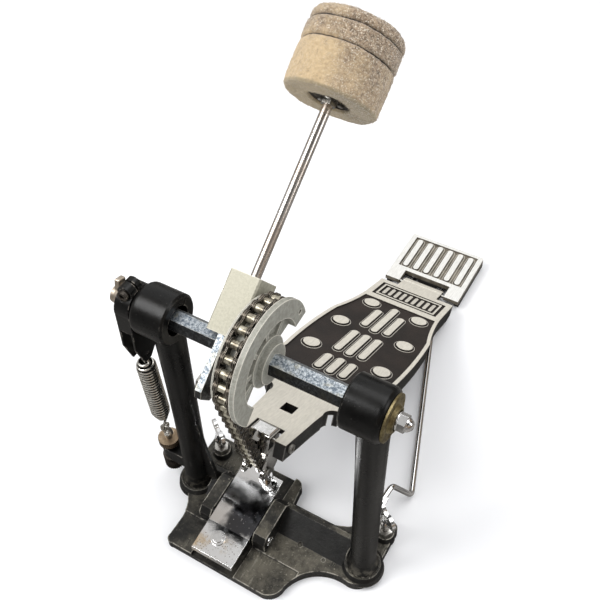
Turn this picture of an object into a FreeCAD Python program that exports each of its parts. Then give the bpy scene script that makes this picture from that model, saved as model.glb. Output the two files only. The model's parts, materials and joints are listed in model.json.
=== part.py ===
import FreeCAD, Part
import math
import os

os.makedirs("parts", exist_ok=True)

# Frame: +X along the axle, -Y towards the drum, +Y towards the heel, +Z up.
# The origin is on the base underside, in the centre plane of the footboard.

# ---------------------------------------------------------------- driving dimensions (mm, degrees)
AXLE_Z = 214.0              # axle height over the floor
REST_LEAN = 54.0            # lean of the beater towards the heel, from upright
BOARD_PITCH = 23.9          # slope of the footboard at rest

CAM_R = 38.0                # radius of the chain pins on the cam
CHAIN_PITCH = 9.525         # 3/8 inch chain
CHAIN_X = -2.0              # middle plane of the chain
LEAVE_ANGLE = 192.0         # where the chain leaves the cam, from +Y towards +Z
WRAP_LINKS = 12             # links on the cam at rest
UNWRAP_LINKS = 4            # of those, the links that come off in one stroke
DROP_LINKS = 11             # links between the cam and the toe

PLATE_H = 4.1               # half height of the chain plates
PLATE_T = 1.25
ROLLER_R = 2.9
PIN_DRIFT = 3.4             # how far the chain end moves in the clip in mid stroke

HOUSING_IN = 63.5           # inner face of the bearing housings
HOUSING_OUT = 91.0
HOUSING_R = 18.5
PILLAR_X = (-74.0, 80.0)    # the casting sits 4 mm to the right of the board
PILLAR_R = 10.5
BASE_TOP = 9.5

HEX_ACROSS = 13.8
JOURNAL_R = 5.0
THREAD_R = 3.5              # right end of the axle, under the dome nut
BEARING_R = 13.0
BEARING_W = 8.0

SHAFT_R = 3.5
SHAFT_X = -24.0
BLOCK_T = (4.5, 45.5)       # block, measured along the beater from the axle
ARM_X = (SHAFT_X - 3.4, SHAFT_X + 1.4)
ARM_BOLT = 29.0             # bolt of the balance arm, measured below the axle
FELT_T = (166.0, 197.0, 210.5, 220.5)    # faces of the three felts along the beater
FELT_R = 32.5

HINGE_Y = 277.0             # heel hinge pin
HINGE_Z = 9.6
HINGE_R = 2.9
PIN_R = 1.5
BOARD_TOP = 2.4             # tread surface over the hinge pin
BOARD_END = 314.0           # toe end, measured along the board from the hinge
TOE_SCREW = (-BOARD_END + 6.5, BOARD_TOP - 5.5)
HEEL_HALF = 39.0
HEEL_TOP = 12.5
HEEL_END = 342.0

LEVER_X = (-105.0, -93.0)
LEVER_LEN = 46.0
LEVER_PIN_R = 1.5
LEVER_SCREW = 14.0          # height of the lever's clamp screw above the axle
FORK_HALF = 4.4             # half of the gap that the spring hook hangs in
LEVER_TILT = 8.0           # lever leans towards the drum at rest
SPRING_X = -99.0
EYE_Y = -4.0
EYE_Z = 66.0                # eye that the lower spring hook sits in
SPRING_WIRE = 1.1
SPRING_R = 6.6
SPRING_TURNS = 20

CLAMP_X = (-40.5, -3.5)
CLAMP_PIVOT = (-28.0, 18.0)
CLAMP_SCREW = (-15.0, 9.0)
CLAMP_RIVET = (-25.5, -47.0)
SPUR_X = (-70.0, 84.0)
SPUR_Y = 24.0
WIRE_R = 2.3
WIRE_Z = 2.9

V = FreeCAD.Vector


# ---------------------------------------------------------------- helpers
def save(shape, node):
    shape.exportStep("parts/%s.step" % node)


def box(x, y, z):
    return Part.makeBox(x[1] - x[0], y[1] - y[0], z[1] - z[0], V(x[0], y[0], z[0]))


def rod_x(x, y, z, r):
    return Part.makeCylinder(r, x[1] - x[0], V(x[0], y, z), V(1, 0, 0))


def rod_z(x, y, z, r):
    return Part.makeCylinder(r, z[1] - z[0], V(x, y, z[0]), V(0, 0, 1))


def tube_x(x, y, z, r_out, r_in):
    return rod_x(x, y, z, r_out).cut(rod_x(x, y, z, r_in))


def tube_z(x, y, z, r_out, r_in):
    return rod_z(x, y, z, r_out).cut(rod_z(x, y, z, r_in))


def lathe_x(profile, y, z):
    """Turn (x, radius) points about a line along X."""
    points = [V(x, y, z + r) for x, r in profile]
    wire = Part.makePolygon(points + [points[0]])
    return Part.Face(wire).revolve(V(0, y, z), V(1, 0, 0), 360)


def lathe_z(profile, x, y):
    """Turn (radius, z) points about a line along Z."""
    points = [V(x + r, y, z) for r, z in profile]
    wire = Part.makePolygon(points + [points[0]])
    return Part.Face(wire).revolve(V(x, y, 0), V(0, 0, 1), 360)


def outline(start, moves, z=0.0):
    """Closed wire; a move of two numbers is a line, one of four is an arc through a point."""
    edges = []
    here = V(start[0], start[1], z)
    for move in moves:
        there = V(move[-2], move[-1], z)
        if len(move) == 2:
            edges.append(Part.makeLine(here, there))
        else:
            edges.append(Part.Arc(here, V(move[0], move[1], z), there).toShape())
        here = there
    return Part.Wire(edges)


def slab(wire, height):
    return Part.Face(wire).extrude(V(0, 0, height))


def prism_x(points, x):
    """Extrude (y, z) points along X."""
    loop = [V(x[0], y, z) for y, z in points]
    return Part.Face(Part.makePolygon(loop + [loop[0]])).extrude(V(x[1] - x[0], 0, 0))


def hex_x(x, y, z, across, turn=0.0):
    r = across / math.sqrt(3)
    corners = [math.radians(60 * k + turn) for k in range(6)]
    return prism_x([(y + r * math.cos(a), z + r * math.sin(a)) for a in corners], x)


def hex_z(x, y, z, across):
    r = across / math.sqrt(3)
    loop = [V(x + r * math.cos(math.radians(60 * k)), y + r * math.sin(math.radians(60 * k)), z[0])
            for k in range(7)]
    return Part.Face(Part.makePolygon(loop)).extrude(V(0, 0, z[1] - z[0]))


def pill(x, y, z, half_w):
    """Upright slab with round ends, long in Y."""
    a, b = x - half_w, x + half_w
    y0, y1 = y[0] + half_w, y[1] - half_w
    wire = outline((a, y0), [(x, y0 - half_w, b, y0), (b, y1), (x, y1 + half_w, a, y1), (a, y0)], z[0])
    return slab(wire, z[1] - z[0])


def bent_rod(points, radius, bend):
    """Round bar through points, with a round bend at each inner one."""
    edges = []
    here = points[0]
    for k in range(1, len(points) - 1):
        corner = points[k]
        u = (points[k - 1] - corner).normalize()
        w = (points[k + 1] - corner).normalize()
        half = u.getAngle(w) / 2
        back = bend / math.tan(half)
        mid_dir = (u + w).normalize()
        enter = corner + u * back
        leave = corner + w * back
        middle = corner + mid_dir * (bend / math.sin(half) - bend)
        edges.append(Part.makeLine(here, enter))
        edges.append(Part.Arc(enter, middle, leave).toShape())
        here = leave
    edges.append(Part.makeLine(here, points[-1]))
    start = (points[1] - points[0]).normalize()
    ring = Part.Wire(Part.makeCircle(radius, points[0], start))
    return Part.Wire(edges).makePipeShell([ring], True, False)


def fuse(first, *rest):
    return first.multiFuse(list(rest)).removeSplitter()


def polar(r, angle, y=0.0, z=AXLE_Z):
    a = math.radians(angle)
    return y + r * math.cos(a), z + r * math.sin(a)


def lean(shape):
    """Beater parts are drawn upright on the axle, then leaned to the rest pose."""
    shape = shape.copy()
    shape.rotate(V(0, 0, AXLE_Z), V(1, 0, 0), -REST_LEAN)
    return shape


def on_board(shape):
    """Board parts are drawn level about the hinge pin (toe at -Y), then pitched up."""
    shape = shape.copy()
    shape.rotate(V(0, 0, 0), V(1, 0, 0), -BOARD_PITCH)
    shape.translate(V(0, HINGE_Y, HINGE_Z))
    return shape


# ---------------------------------------------------------------- base
def base_casting():
    rim = outline((-60, -64), [
        (24, -64), (32, -60, 36, -50), (50, -30, 76, -24), (87, -20, 91, -9), (91, 30),
        (89, 36, 83, 37), (64, 37), (62, 22, 53, 15), (34, 9, 8, 9), (6, 25), (4, 31, -2, 33),
        (-34, 33), (-40, 31, -42, 25), (-44, 9), (-47, 10, -48.5, 15), (-50, 37), (-76, 37),
        (-82, 36, -84, 30), (-84, -4), (-80, -12, -74, -22), (-68, -32, -66, -46), (-66, -58),
        (-65, -63, -60, -64)])
    body = slab(rim, BASE_TOP)
    front_foot = box((-70, 40), (-70, -36), (BASE_TOP - 1.2, 30))
    channel = box((CLAMP_X[0] - 1.2, CLAMP_X[1] + 1.2), (-70, 34), (4.5, 30))
    body = body.cut(front_foot).cut(channel)
    # sloping rear walls between the clamp channel and the pillars
    wall = [(-17, 8.5), (2, 22), (6, 22), (8.5, 18), (9, 8.5)]
    right_wall = prism_x(wall, (7, PILLAR_X[1] - 6))
    left_wall = prism_x(wall, (PILLAR_X[0] + 6, -50))
    parts = [right_wall, left_wall]
    # cheeks that carry the clamp pivot
    cheek = [(-35, 8), (-35, 20), (-31, 25), (-24, 25), (-7, 27), (0, 27), (6, 20), (6, 8)]
    parts.append(prism_x(cheek, (CLAMP_X[1] + 1.2, 9)))
    parts.append(prism_x(cheek, (-52, CLAMP_X[0] - 1.2)))
    for x in PILLAR_X:
        parts.append(lathe_z([(0, 5), (17, 5), (16, BASE_TOP + 1), (14, 13), (0, 13)], x, -6))
    for x in SPUR_X:
        parts.append(lathe_z([(0, 5), (8.5, 5), (7.5, 16), (0, 16)], x, SPUR_Y))
    body = fuse(body, *parts)
    # pockets seen from above, and the hollow underside
    marks = [rod_z(30, -16, (BASE_TOP - 0.8, 12), 2.0), rod_z(52, -18, (BASE_TOP - 0.5, 12), 1.6)]
    hollows = [box((12, 62), (-22, 2), (-1, 5.5)), box((8, 24), (-56, -30), (-1, 5)),
               box((-60, -44), (-56, -12), (-1, 5))]
    for cut in marks + hollows:
        body = body.cut(cut)
    body = body.cut(rod_x((-60, 20), CLAMP_PIVOT[0], CLAMP_PIVOT[1], 2.55))
    for x in PILLAR_X:
        body = body.cut(rod_z(x, -6, (13, 40), 12.9))
        body = body.cut(rod_z(x, -6, (-1, 6), 8.0)).cut(rod_z(x, -6, (5, 14), 3.1))
    for x in SPUR_X:
        body = body.cut(rod_z(x, SPUR_Y, (-1, 17), 3.05))
    for side, x in ((-1, SPUR_X[0]), (1, SPUR_X[1])):
        slot = box((x - 12.2 * side - 4.0, x - 12.2 * side + 4.0), (30.7, 33.1), (-1, 12))
        body = body.cut(slot)
    return body


def rib_section(x, z, reach):
    """Level section of the stiffening rib on the left pillar."""
    y = -4.5 + z / 60
    loop = [V(x, y - 3, z), V(x + reach, y - 1.6, z), V(x + reach, y + 1.6, z), V(x, y + 3, z)]
    return Part.makePolygon(loop + [loop[0]])


def pillar(side):
    """Cast pillar with its bearing housing; side is -1 for left, 1 for right."""
    x = PILLAR_X[0] if side < 0 else PILLAR_X[1]
    foot = Part.Wire(Part.makeCircle(PILLAR_R - 0.3, V(x, -6, 13), V(0, 0, 1)))
    waist = Part.Wire(Part.makeCircle(PILLAR_R - 0.5, V(x, -3, 90), V(0, 0, 1)))
    top = Part.Wire(Part.makeCircle(PILLAR_R + 0.6, V(x, 0, AXLE_Z - 8), V(0, 0, 1)))
    column = Part.makeLoft([foot, waist, top], True)
    flare = lathe_z([(0, 13), (12.5, 13), (11.2, 17), (9.5, 26), (0, 26)], x, -5.8)
    inner, outer = side * HOUSING_IN, side * HOUSING_OUT
    r = HOUSING_R
    rounding = 4.0
    profile = [(inner, 0), (inner, r - 1.5), (inner + side * 1.5, r)]
    for k in range(6):
        a = math.radians(90 - 18 * k)
        profile.append((outer - side * rounding * (1 - math.cos(a)), r - rounding * (1 - math.sin(a))))
    housing = lathe_x(profile + [(outer, 0)], 0, AXLE_Z)
    parts = [flare, housing]
    if side < 0:
        # rib down the inner side and the lug for the spring bolt
        parts.append(Part.makeLoft([rib_section(x, 22.5, 21), rib_section(x, 60, 14),
                                    rib_section(x, 150, 8)], True))
        parts.append(box((SPRING_X, x), (EYE_Y - 7, EYE_Y + 7), (28, 42)))
        parts.append(rod_z(SPRING_X, EYE_Y, (28, 42), 7.0))
    body = fuse(column, *parts)
    step = outer - side * 12
    bore = lathe_x([(inner - side, 0), (inner - side, 11), (step, 11), (step, BEARING_R),
                    (outer + side, BEARING_R), (outer + side, 0)], 0, AXLE_Z)
    body = body.cut(bore)
    body = body.cut(rod_z(x, -6, (12, 30), 3.0))
    if side < 0:
        body = body.cut(rod_z(SPRING_X, EYE_Y, (20, 50), 3.05))
    return body


def pillar_bolts():
    bolts = []
    for x in PILLAR_X:
        shank = rod_z(x, -6, (4, 30), 3.0)
        head = rod_z(x, -6, (0.6, 6), 5.0).cut(hex_z(x, -6, (0, 3.4), 5.0))
        bolts.append(shank.fuse(head))
    return Part.makeCompound(bolts)


# ---------------------------------------------------------------- axle and bearings
def axle():
    bar = hex_x((-69, 69), 0, AXLE_Z, HEX_ACROSS, 12)
    journals = rod_x((-116, HOUSING_OUT + 4), 0, AXLE_Z, JOURNAL_R)
    thread = rod_x((HOUSING_OUT, HOUSING_OUT + 9), 0, AXLE_Z, THREAD_R)
    shoulder = HOUSING_OUT - 12
    collars = rod_x((-shoulder, shoulder), 0, AXLE_Z, HEX_ACROSS / 2 - 0.1)
    return fuse(bar, journals, thread, collars)


def bearing_span(side):
    return sorted([side * (HOUSING_OUT - 12), side * (HOUSING_OUT - 12 + BEARING_W)])


def bearing_outer_rings():
    rings = []
    for side in (-1, 1):
        race = tube_x(bearing_span(side), 0, AXLE_Z, BEARING_R, 10.4)
        mid = side * (HOUSING_OUT - 12 + BEARING_W / 2)
        groove = Part.makeTorus(8.9, 2.5, V(mid, 0, AXLE_Z), V(1, 0, 0))
        rings.append(race.cut(groove))
    return Part.makeCompound(rings)


def bearing_inner_rings():
    rings = []
    for side in (-1, 1):
        race = tube_x(bearing_span(side), 0, AXLE_Z, 7.5, JOURNAL_R)
        mid = side * (HOUSING_OUT - 12 + BEARING_W / 2)
        groove = Part.makeTorus(8.9, 2.5, V(mid, 0, AXLE_Z), V(1, 0, 0))
        rings.append(race.cut(groove))
    return Part.makeCompound(rings)


def bearing_balls():
    balls = []
    for side in (-1, 1):
        mid = side * (HOUSING_OUT - 12 + BEARING_W / 2)
        for k in range(7):
            y, z = polar(8.9, 360 * k / 7)
            balls.append(Part.makeSphere(2.2, V(mid, y, z)))
    return Part.makeCompound(balls)


def right_bearing_cap():
    x0 = HOUSING_OUT - 4
    profile = [(x0, 7), (x0, BEARING_R), (x0 + 4, BEARING_R), (x0 + 4, 16), (x0 + 5.4, 16),
               (x0 + 6.0, 14), (x0 + 5.4, 12), (x0 + 5.6, 10), (x0 + 8.0, 8.6), (x0 + 8.2, 7)]
    return lathe_x(profile, 0, AXLE_Z)


def left_bearing_cap():
    x0 = -HOUSING_OUT + 4
    profile = [(x0, 7), (x0, BEARING_R), (x0 - 4, BEARING_R), (x0 - 4, 15), (x0 - 5, 14), (x0 - 5, 7)]
    return lathe_x(profile, 0, AXLE_Z)


def axle_dome_nut():
    x0 = HOUSING_OUT + 5.2
    dome_r = 4.7
    flats = hex_x((x0, x0 + 5), 0, AXLE_Z, 10.6, 20)
    washer = rod_x((x0 - 1.2, x0), 0, AXLE_Z, 6.2)
    dome = Part.makeSphere(dome_r, V(x0 + 4.6, 0, AXLE_Z)).common(rod_x((x0, x0 + 12), 0, AXLE_Z, dome_r))
    return fuse(flats, washer, dome).cut(rod_x((x0 - 2, HOUSING_OUT + 9), 0, AXLE_Z, THREAD_R))


# ---------------------------------------------------------------- cam
def sector(r, a0, a1, x):
    """Pie slice about the axle, from angle a0 to a1."""
    steps = 8
    loop = [(0.0, AXLE_Z)] + [polar(r, a0 + (a1 - a0) * k / steps) for k in range(steps + 1)]
    return prism_x(loop, x)


def cam():
    start = LEAVE_ANGLE - WRAP_LINKS * link_angle()
    left, right = CHAIN_X - 8.2, CHAIN_X + 10.5
    groove = (CHAIN_X - 6.8, CHAIN_X + 6.8)
    rim = tube_x((left, right), 0, AXLE_Z, CAM_R - PLATE_H - 0.5, 30)
    ridge = tube_x((CHAIN_X - 2.7, CHAIN_X + 2.7), 0, AXLE_Z, CAM_R - ROLLER_R - 0.1, 30)
    left_flange = rod_x((left, groove[0]), 0, AXLE_Z, 39.5)
    right_flange = tube_x((groove[1], right), 0, AXLE_Z, 43, 30)
    web = rod_x((CHAIN_X, CHAIN_X + 5), 0, AXLE_Z, 31)
    quarter = sector(70, start - 12, LEAVE_ANGLE + 27, (left - 1, right + 1))
    body = fuse(rim, ridge, left_flange, right_flange, web).common(quarter)
    hub = fuse(rod_x((left, CHAIN_X + 12), 0, AXLE_Z, 14), rod_x((left, CHAIN_X + 8), 0, AXLE_Z, 18))
    spokes = []
    for a in (start + 20, start + 62, start + 104, start + 146, LEAVE_ANGLE):
        spoke = box((left, CHAIN_X + 7), (12, 32), (AXLE_Z - 1.6, AXLE_Z + 1.6))
        spoke.rotate(V(0, 0, AXLE_Z), V(1, 0, 0), a)
        spokes.append(spoke)
    body = fuse(body, hub, *spokes)
    body = body.cut(hex_x((left - 1, CHAIN_X + 20), 0, AXLE_Z, HEX_ACROSS, 12))
    # slots through the web and the lug that holds the first chain pin
    for a in (start + 41, start + 83, start + 125):
        y, z = polar(25, a)
        body = body.cut(rod_x((left - 1, right), y, z, 3.2))
    y, z = polar(CAM_R, start)
    for x in ((CHAIN_X - 7, CHAIN_X - 5.7), (CHAIN_X + 5.7, CHAIN_X + 7)):
        body = body.fuse(rod_x(x, y, z, 3.4))
    body = body.cut(rod_x((left - 1, right + 1), y, z, 1.75))
    body = body.cut(radial_rod(CHAIN_X + 5, 5, 25, 2.5))
    return body.removeSplitter()


def radial_rod(x, r0, r1, radius):
    """Round bar that points away from the axle, under the hub."""
    return Part.makeCylinder(radius, r1 - r0, V(x, *polar(r0, 282)), V(0, *polar(1, 282, 0, 0)))


def cam_screw():
    screw = radial_rod(CHAIN_X + 5, HEX_ACROSS / 2, 18.5, 2.5)
    return screw.cut(radial_rod(CHAIN_X + 5, 16, 20, 1.3))


# ---------------------------------------------------------------- chain
def link_angle():
    return math.degrees(2 * math.asin(CHAIN_PITCH / 2 / CAM_R))


def chain_pins():
    """Pin centres (y, z) from the cam end to the toe."""
    start = LEAVE_ANGLE - WRAP_LINKS * link_angle()
    pins = [polar(CAM_R, start + k * link_angle()) for k in range(WRAP_LINKS + 1)]
    y, z = pins[-1]
    a = math.radians(LEAVE_ANGLE + 90)
    for k in range(1, DROP_LINKS + 1):
        pins.append((y + k * CHAIN_PITCH * math.cos(a), z + k * CHAIN_PITCH * math.sin(a)))
    return pins


def link_plate(p, q, x0):
    """Waisted side plate between two pins."""
    dy, dz = (q[0] - p[0]) / CHAIN_PITCH, (q[1] - p[1]) / CHAIN_PITCH
    bar = prism_x([(p[0] - dz * 3, p[1] + dy * 3), (q[0] - dz * 3, q[1] + dy * 3),
                   (q[0] + dz * 3, q[1] - dy * 3), (p[0] + dz * 3, p[1] - dy * 3)],
                  (x0, x0 + PLATE_T))
    ends = [rod_x((x0, x0 + PLATE_T), c[0], c[1], PLATE_H) for c in (p, q)]
    return fuse(bar, *ends)


def chain_link(k):
    """Even links are outer ones with pins, odd links inner ones with rollers."""
    pins = chain_pins()
    p, q = pins[k], pins[k + 1]
    solids = []
    if k % 2 == 0:
        gap = 4.35
        pin_half = 6.1
        plates = [link_plate(p, q, CHAIN_X + gap), link_plate(p, q, CHAIN_X - gap - PLATE_T)]
        shape = plates[0].fuse(plates[1])
        for c in (p, q):
            shape = shape.fuse(rod_x((CHAIN_X - pin_half, CHAIN_X + pin_half), c[0], c[1], 1.7))
        solids.append(shape)
    else:
        gap = 2.95
        for x0 in (CHAIN_X + gap, CHAIN_X - gap - PLATE_T):
            plate = link_plate(p, q, x0)
            for c in (p, q):
                plate = plate.cut(rod_x((x0 - 1, x0 + 3), c[0], c[1], 1.75))
            solids.append(plate)
        for c in (p, q):
            solids.append(tube_x((CHAIN_X - gap, CHAIN_X + gap), c[0], c[1], ROLLER_R, 1.75))
    return solids


def chain_run(first, last):
    return Part.makeCompound([s for k in range(first, last) for s in chain_link(k)])


# ---------------------------------------------------------------- beater
def beater_block():
    z0, z1 = AXLE_Z + BLOCK_T[0], AXLE_Z + BLOCK_T[1]
    x0, x1 = SHAFT_X - 12, SHAFT_X + 10.5
    body = box((x0, x1), (-15, 13), (z0, z1))
    edges = [e for e in body.Edges if abs(e.tangentAt(e.FirstParameter).z) > 0.9]
    body = body.makeChamfer(1.2, edges)
    # pocket for the balance arm, closed at the front
    body = body.cut(box((ARM_X[0] - 0.2, ARM_X[1] + 0.2), (-12.7, 14), (z0 - 1, AXLE_Z + 13)))
    body = body.cut(rod_z(SHAFT_X, -1, (AXLE_Z + 14, z1 + 1), SHAFT_R + 0.05))
    body = body.cut(rod_x((x0 - 1, SHAFT_X), -1, AXLE_Z + 32, 2.5))
    body = body.cut(rod_x((x0 - 1, x1 + 1), 7, AXLE_Z + 10, 2.05))
    body = lean(body)
    return body.cut(hex_x((x0 - 1, x1 + 1), 0, AXLE_Z, HEX_ACROSS, 12))


def balance_arm():
    """Flat steel arm on the axle; the block sits over its upper end."""
    loop = [(-12.5, 12.5), (-12.5, -34), (-9, -38.5), (4, -38.5), (9, -32), (12, -10), (12.8, 12.5)]
    body = prism_x([(y, AXLE_Z + z) for y, z in loop], ARM_X)
    across = (ARM_X[0] - 1, ARM_X[1] + 1)
    body = body.cut(rod_x(across, 7, AXLE_Z + 10, 2.05))
    body = lean(body.cut(rod_x(across, 0, AXLE_Z - ARM_BOLT, 3.0)))
    return body.cut(hex_x(across, 0, AXLE_Z, HEX_ACROSS, 12))


def block_screw():
    x0, x1 = SHAFT_X - 12, SHAFT_X + 10.5
    shank = rod_x((x0, x1 - 2), 7, AXLE_Z + 10, 2.0)
    head = rod_x((x0 - 3, x0), 7, AXLE_Z + 10, 4.0).cut(hex_x((x0 - 4, x0 - 1), 7, AXLE_Z + 10, 3.4))
    return lean(shank.fuse(head))


def arm_bolt():
    x0, x1 = ARM_X
    z = AXLE_Z - ARM_BOLT
    shank = rod_x((x0 - 6, x1), 0, z, 3.0)
    head = hex_x((x1, x1 + 4), 0, z, 10)
    nut = hex_x((x0 - 5, x0), 0, z, 10)
    return lean(fuse(shank, head, nut))


def beater_set_screw():
    x0 = SHAFT_X - 12
    square = box((x0 - 7, x0 - 1), (-4, 2), (AXLE_Z + 29, AXLE_Z + 35))
    thread = rod_x((x0 - 1.0, SHAFT_X - SHAFT_R - 0.05), -1, AXLE_Z + 32, 2.5)
    collar = rod_x((x0 - 1.5, x0), -1, AXLE_Z + 32, 4.2)
    return lean(fuse(square, thread, collar))


def beater_shaft():
    end = FELT_T[3] - 5.0
    return lean(rod_z(SHAFT_X, -1, (AXLE_Z + 16, AXLE_Z + end), SHAFT_R))


def felt_disc(k):
    z0, z1 = AXLE_Z + FELT_T[k], AXLE_Z + FELT_T[k + 1]
    soft = 1.6
    profile = [(SHAFT_R, z0), (FELT_R - soft, z0), (FELT_R, z0 + soft), (FELT_R, z1 - soft),
               (FELT_R - soft, z1), (SHAFT_R, z1)]
    if k == 0:
        # the lower felt is hollowed for the washer
        profile = [(SHAFT_R, z0 + 4), (14, z0 + 4), (15, z0), (FELT_R - soft, z0), (FELT_R, z0 + soft),
                   (FELT_R, z1 - soft), (FELT_R - soft, z1), (SHAFT_R, z1)]
    if k == 2:
        crown = 5.0
        profile = [(SHAFT_R, z0), (FELT_R - soft, z0), (FELT_R, z0 + soft), (FELT_R, z1 - crown),
                   (FELT_R - 2, z1 - 2), (FELT_R - 7, z1 - 0.4), (FELT_R - 14, z1), (8, z1),
                   (7.5, z1 - 5.0), (SHAFT_R, z1 - 5.0)]
    return lean(lathe_z(profile, SHAFT_X, -1))


def beater_washer():
    z = AXLE_Z + FELT_T[0]
    disc = lathe_z([(SHAFT_R, z + 2.6), (12.4, z + 2.6), (13.8, z + 1.8), (13.8, z + 4), (SHAFT_R, z + 4)],
                   SHAFT_X, -1)
    return lean(disc)


def beater_screws():
    z = AXLE_Z + FELT_T[0] + 2.6
    screws = []
    for k in range(3):
        a = math.radians(120 * k + 40)
        x, y = SHAFT_X + 8 * math.cos(a), -1 + 8 * math.sin(a)
        head = rod_z(x, y, (z - 1.6, z), 2.1).cut(box((x - 3, x + 3), (y - 0.4, y + 0.4), (z - 2, z - 0.9)))
        screws.append(head)
    return lean(Part.makeCompound(screws))


def beater_nuts():
    low = AXLE_Z + FELT_T[0] + 2.6
    top = AXLE_Z + FELT_T[3] - 5.0
    lower = hex_z(SHAFT_X, -1, (low - 4.2, low), 9.5).cut(rod_z(SHAFT_X, -1, (low - 5, low + 1), SHAFT_R))
    upper = rod_z(SHAFT_X, -1, (top, top + 3.4), 6.5)
    return lean(Part.makeCompound([lower, upper]))


# ---------------------------------------------------------------- spring side
def lever_tip():
    return polar(LEVER_LEN, 270 - LEVER_TILT)


def spring_lever():
    """Clamped on the axle's left end; its lower end is a fork that the spring hooks into."""
    x = LEVER_X
    middle = (x[0] + x[1]) / 2
    y, z = lever_tip()
    hub = rod_x(x, 0, AXLE_Z, 14.5)
    outline_yz = [(-14.4, AXLE_Z), (14.4, AXLE_Z), (13.0, AXLE_Z - 27), (y + 9.5, z + 1.5),
                  (y + 2.5, z - 6), (y - 4.5, z - 6), (-16.0, AXLE_Z - 33)]
    arm = prism_x(outline_yz, x)
    boss = Part.makeCylinder(5.8, 12, V(middle, -7, AXLE_Z + LEVER_SCREW), V(0, 1, 0))
    boss = boss.common(box(x, (-12, 12), (AXLE_Z, AXLE_Z + 30)))
    body = fuse(hub, arm, boss)
    body = body.cut(rod_x((x[0] - 1, x[1] + 1), 0, AXLE_Z, JOURNAL_R))
    body = body.cut(box((x[0] - 1, x[1] + 1), (-0.6, 0.6), (AXLE_Z + 4, AXLE_Z + 30)))
    body = body.cut(rod_x((x[0] - 1, x[1] + 1), y, z, LEVER_PIN_R + 0.05))
    gap = box((SPRING_X - FORK_HALF, SPRING_X + FORK_HALF), (-40, 40), (z - 20, AXLE_Z - 17))
    screw = Part.makeCylinder(2.1, 40, V(middle, -20, AXLE_Z + LEVER_SCREW), V(0, 1, 0))
    head = Part.makeCylinder(4.1, 14, V(middle, -20, AXLE_Z + LEVER_SCREW), V(0, 1, 0))
    return body.cut(gap).cut(screw).cut(head)


def lever_clamp_screw():
    x = (LEVER_X[0] + LEVER_X[1]) / 2
    z = AXLE_Z + LEVER_SCREW
    shank = Part.makeCylinder(2.05, 11, V(x, -6, z), V(0, 1, 0))
    head = Part.makeCylinder(3.9, 4, V(x, -10, z), V(0, 1, 0))
    socket = Part.makeCylinder(1.9, 2.6, V(x, -10.5, z), V(0, 1, 0))
    return shank.fuse(head).cut(socket)


def lever_pin():
    y, z = lever_tip()
    return rod_x((LEVER_X[0] + 0.5, LEVER_X[1] - 0.5), y, z, LEVER_PIN_R)


def wing_nut():
    x0 = LEVER_X[0] - 1.0
    hub = lathe_x([(x0, JOURNAL_R), (x0, 8.5), (x0 - 6, 6.8), (x0 - 9, 6.5), (x0 - 9, JOURNAL_R)], 0, AXLE_Z)
    wings = []
    for turn in (75, 255):
        wing = box((x0 - 7.5, x0 - 3), (5, 14), (AXLE_Z - 3.6, AXLE_Z + 3.6))
        wing = wing.makeFillet(1.2, wing.Edges)
        wing.rotate(V(0, 0, AXLE_Z), V(1, 0, 0), turn)
        wings.append(wing)
    return fuse(hub, *wings)


def lever_washer():
    return tube_x((LEVER_X[0] - 1.0, LEVER_X[0]), 0, AXLE_Z, 9.0, JOURNAL_R)


def spring_line():
    """Unit vector from the lower eye to the lever tip, and their distance."""
    y, z = lever_tip()
    line = V(0, y - EYE_Y, z - EYE_Z)
    return line * (1 / line.Length), line.Length


def along_spring(shape):
    """Spring parts are drawn upright over the origin, then laid on the spring's line."""
    line, _ = spring_line()
    shape = shape.copy()
    shape.rotate(V(0, 0, 0), V(1, 0, 0), math.degrees(math.atan2(-line.y, line.z)))
    shape.translate(V(SPRING_X, EYE_Y, EYE_Z))
    return shape


def swept_wire(points):
    """Round spring wire along a smooth line through the points."""
    path = Part.BSplineCurve()
    path.interpolate(points)
    start = path.FirstParameter
    section = Part.Wire(Part.makeCircle(SPRING_WIRE, points[0], path.tangent(start)[0]))
    return along_spring(Part.Wire([path.toShape()]).makePipeShell([section], True, True))


def spring_coil():
    """Barrel-shaped coil between the two hooks."""
    length = spring_line()[1]
    z0, z1 = 14.3, length - 14.3
    steps = SPRING_TURNS * 8
    points = []
    for k in range(steps + 1):
        u = k / steps
        r = SPRING_R * min(1.0, 0.45 + 4.0 * u, 0.45 + 4.0 * (1 - u))
        a = 2 * math.pi * SPRING_TURNS * u
        points.append(V(r * math.cos(a), r * math.sin(a), z0 + (z1 - z0) * u))
    return swept_wire(points)


def hook(flip):
    """End hook of the spring; its eye is at the origin and its tail rises into the coil."""
    r = 3.1
    tail = SPRING_R * 0.45
    points = [V(0, *polar(r, a, 0, 0)) for a in range(-20, -161, -35)]
    points += [V(0, -1.6, 5.0), V(0, 0.5, 9.0), V(tail, 0, 12.4)]
    if flip:
        length = spring_line()[1]
        points = [V(-p.x, p.y, length - p.z) for p in points]
    return swept_wire(points)


def eye_bolt():
    eye = Part.makeTorus(4.6, 1.5, V(SPRING_X, EYE_Y, EYE_Z - 4.6), V(0, 1, 0))
    shank = rod_z(SPRING_X, EYE_Y, (12, EYE_Z - 9.2), 3.0)
    return fuse(eye, shank)


def knurled(z, r, teeth):
    """Knurled nut on the spring bolt."""
    body = tube_z(SPRING_X, EYE_Y, z, r, 3.05)
    for k in range(teeth):
        a = 2 * math.pi * k / teeth
        x, y = SPRING_X + r * math.cos(a), EYE_Y + r * math.sin(a)
        body = body.cut(rod_z(x, y, (z[0] - 1, z[1] + 1), 0.5))
    return body


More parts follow.
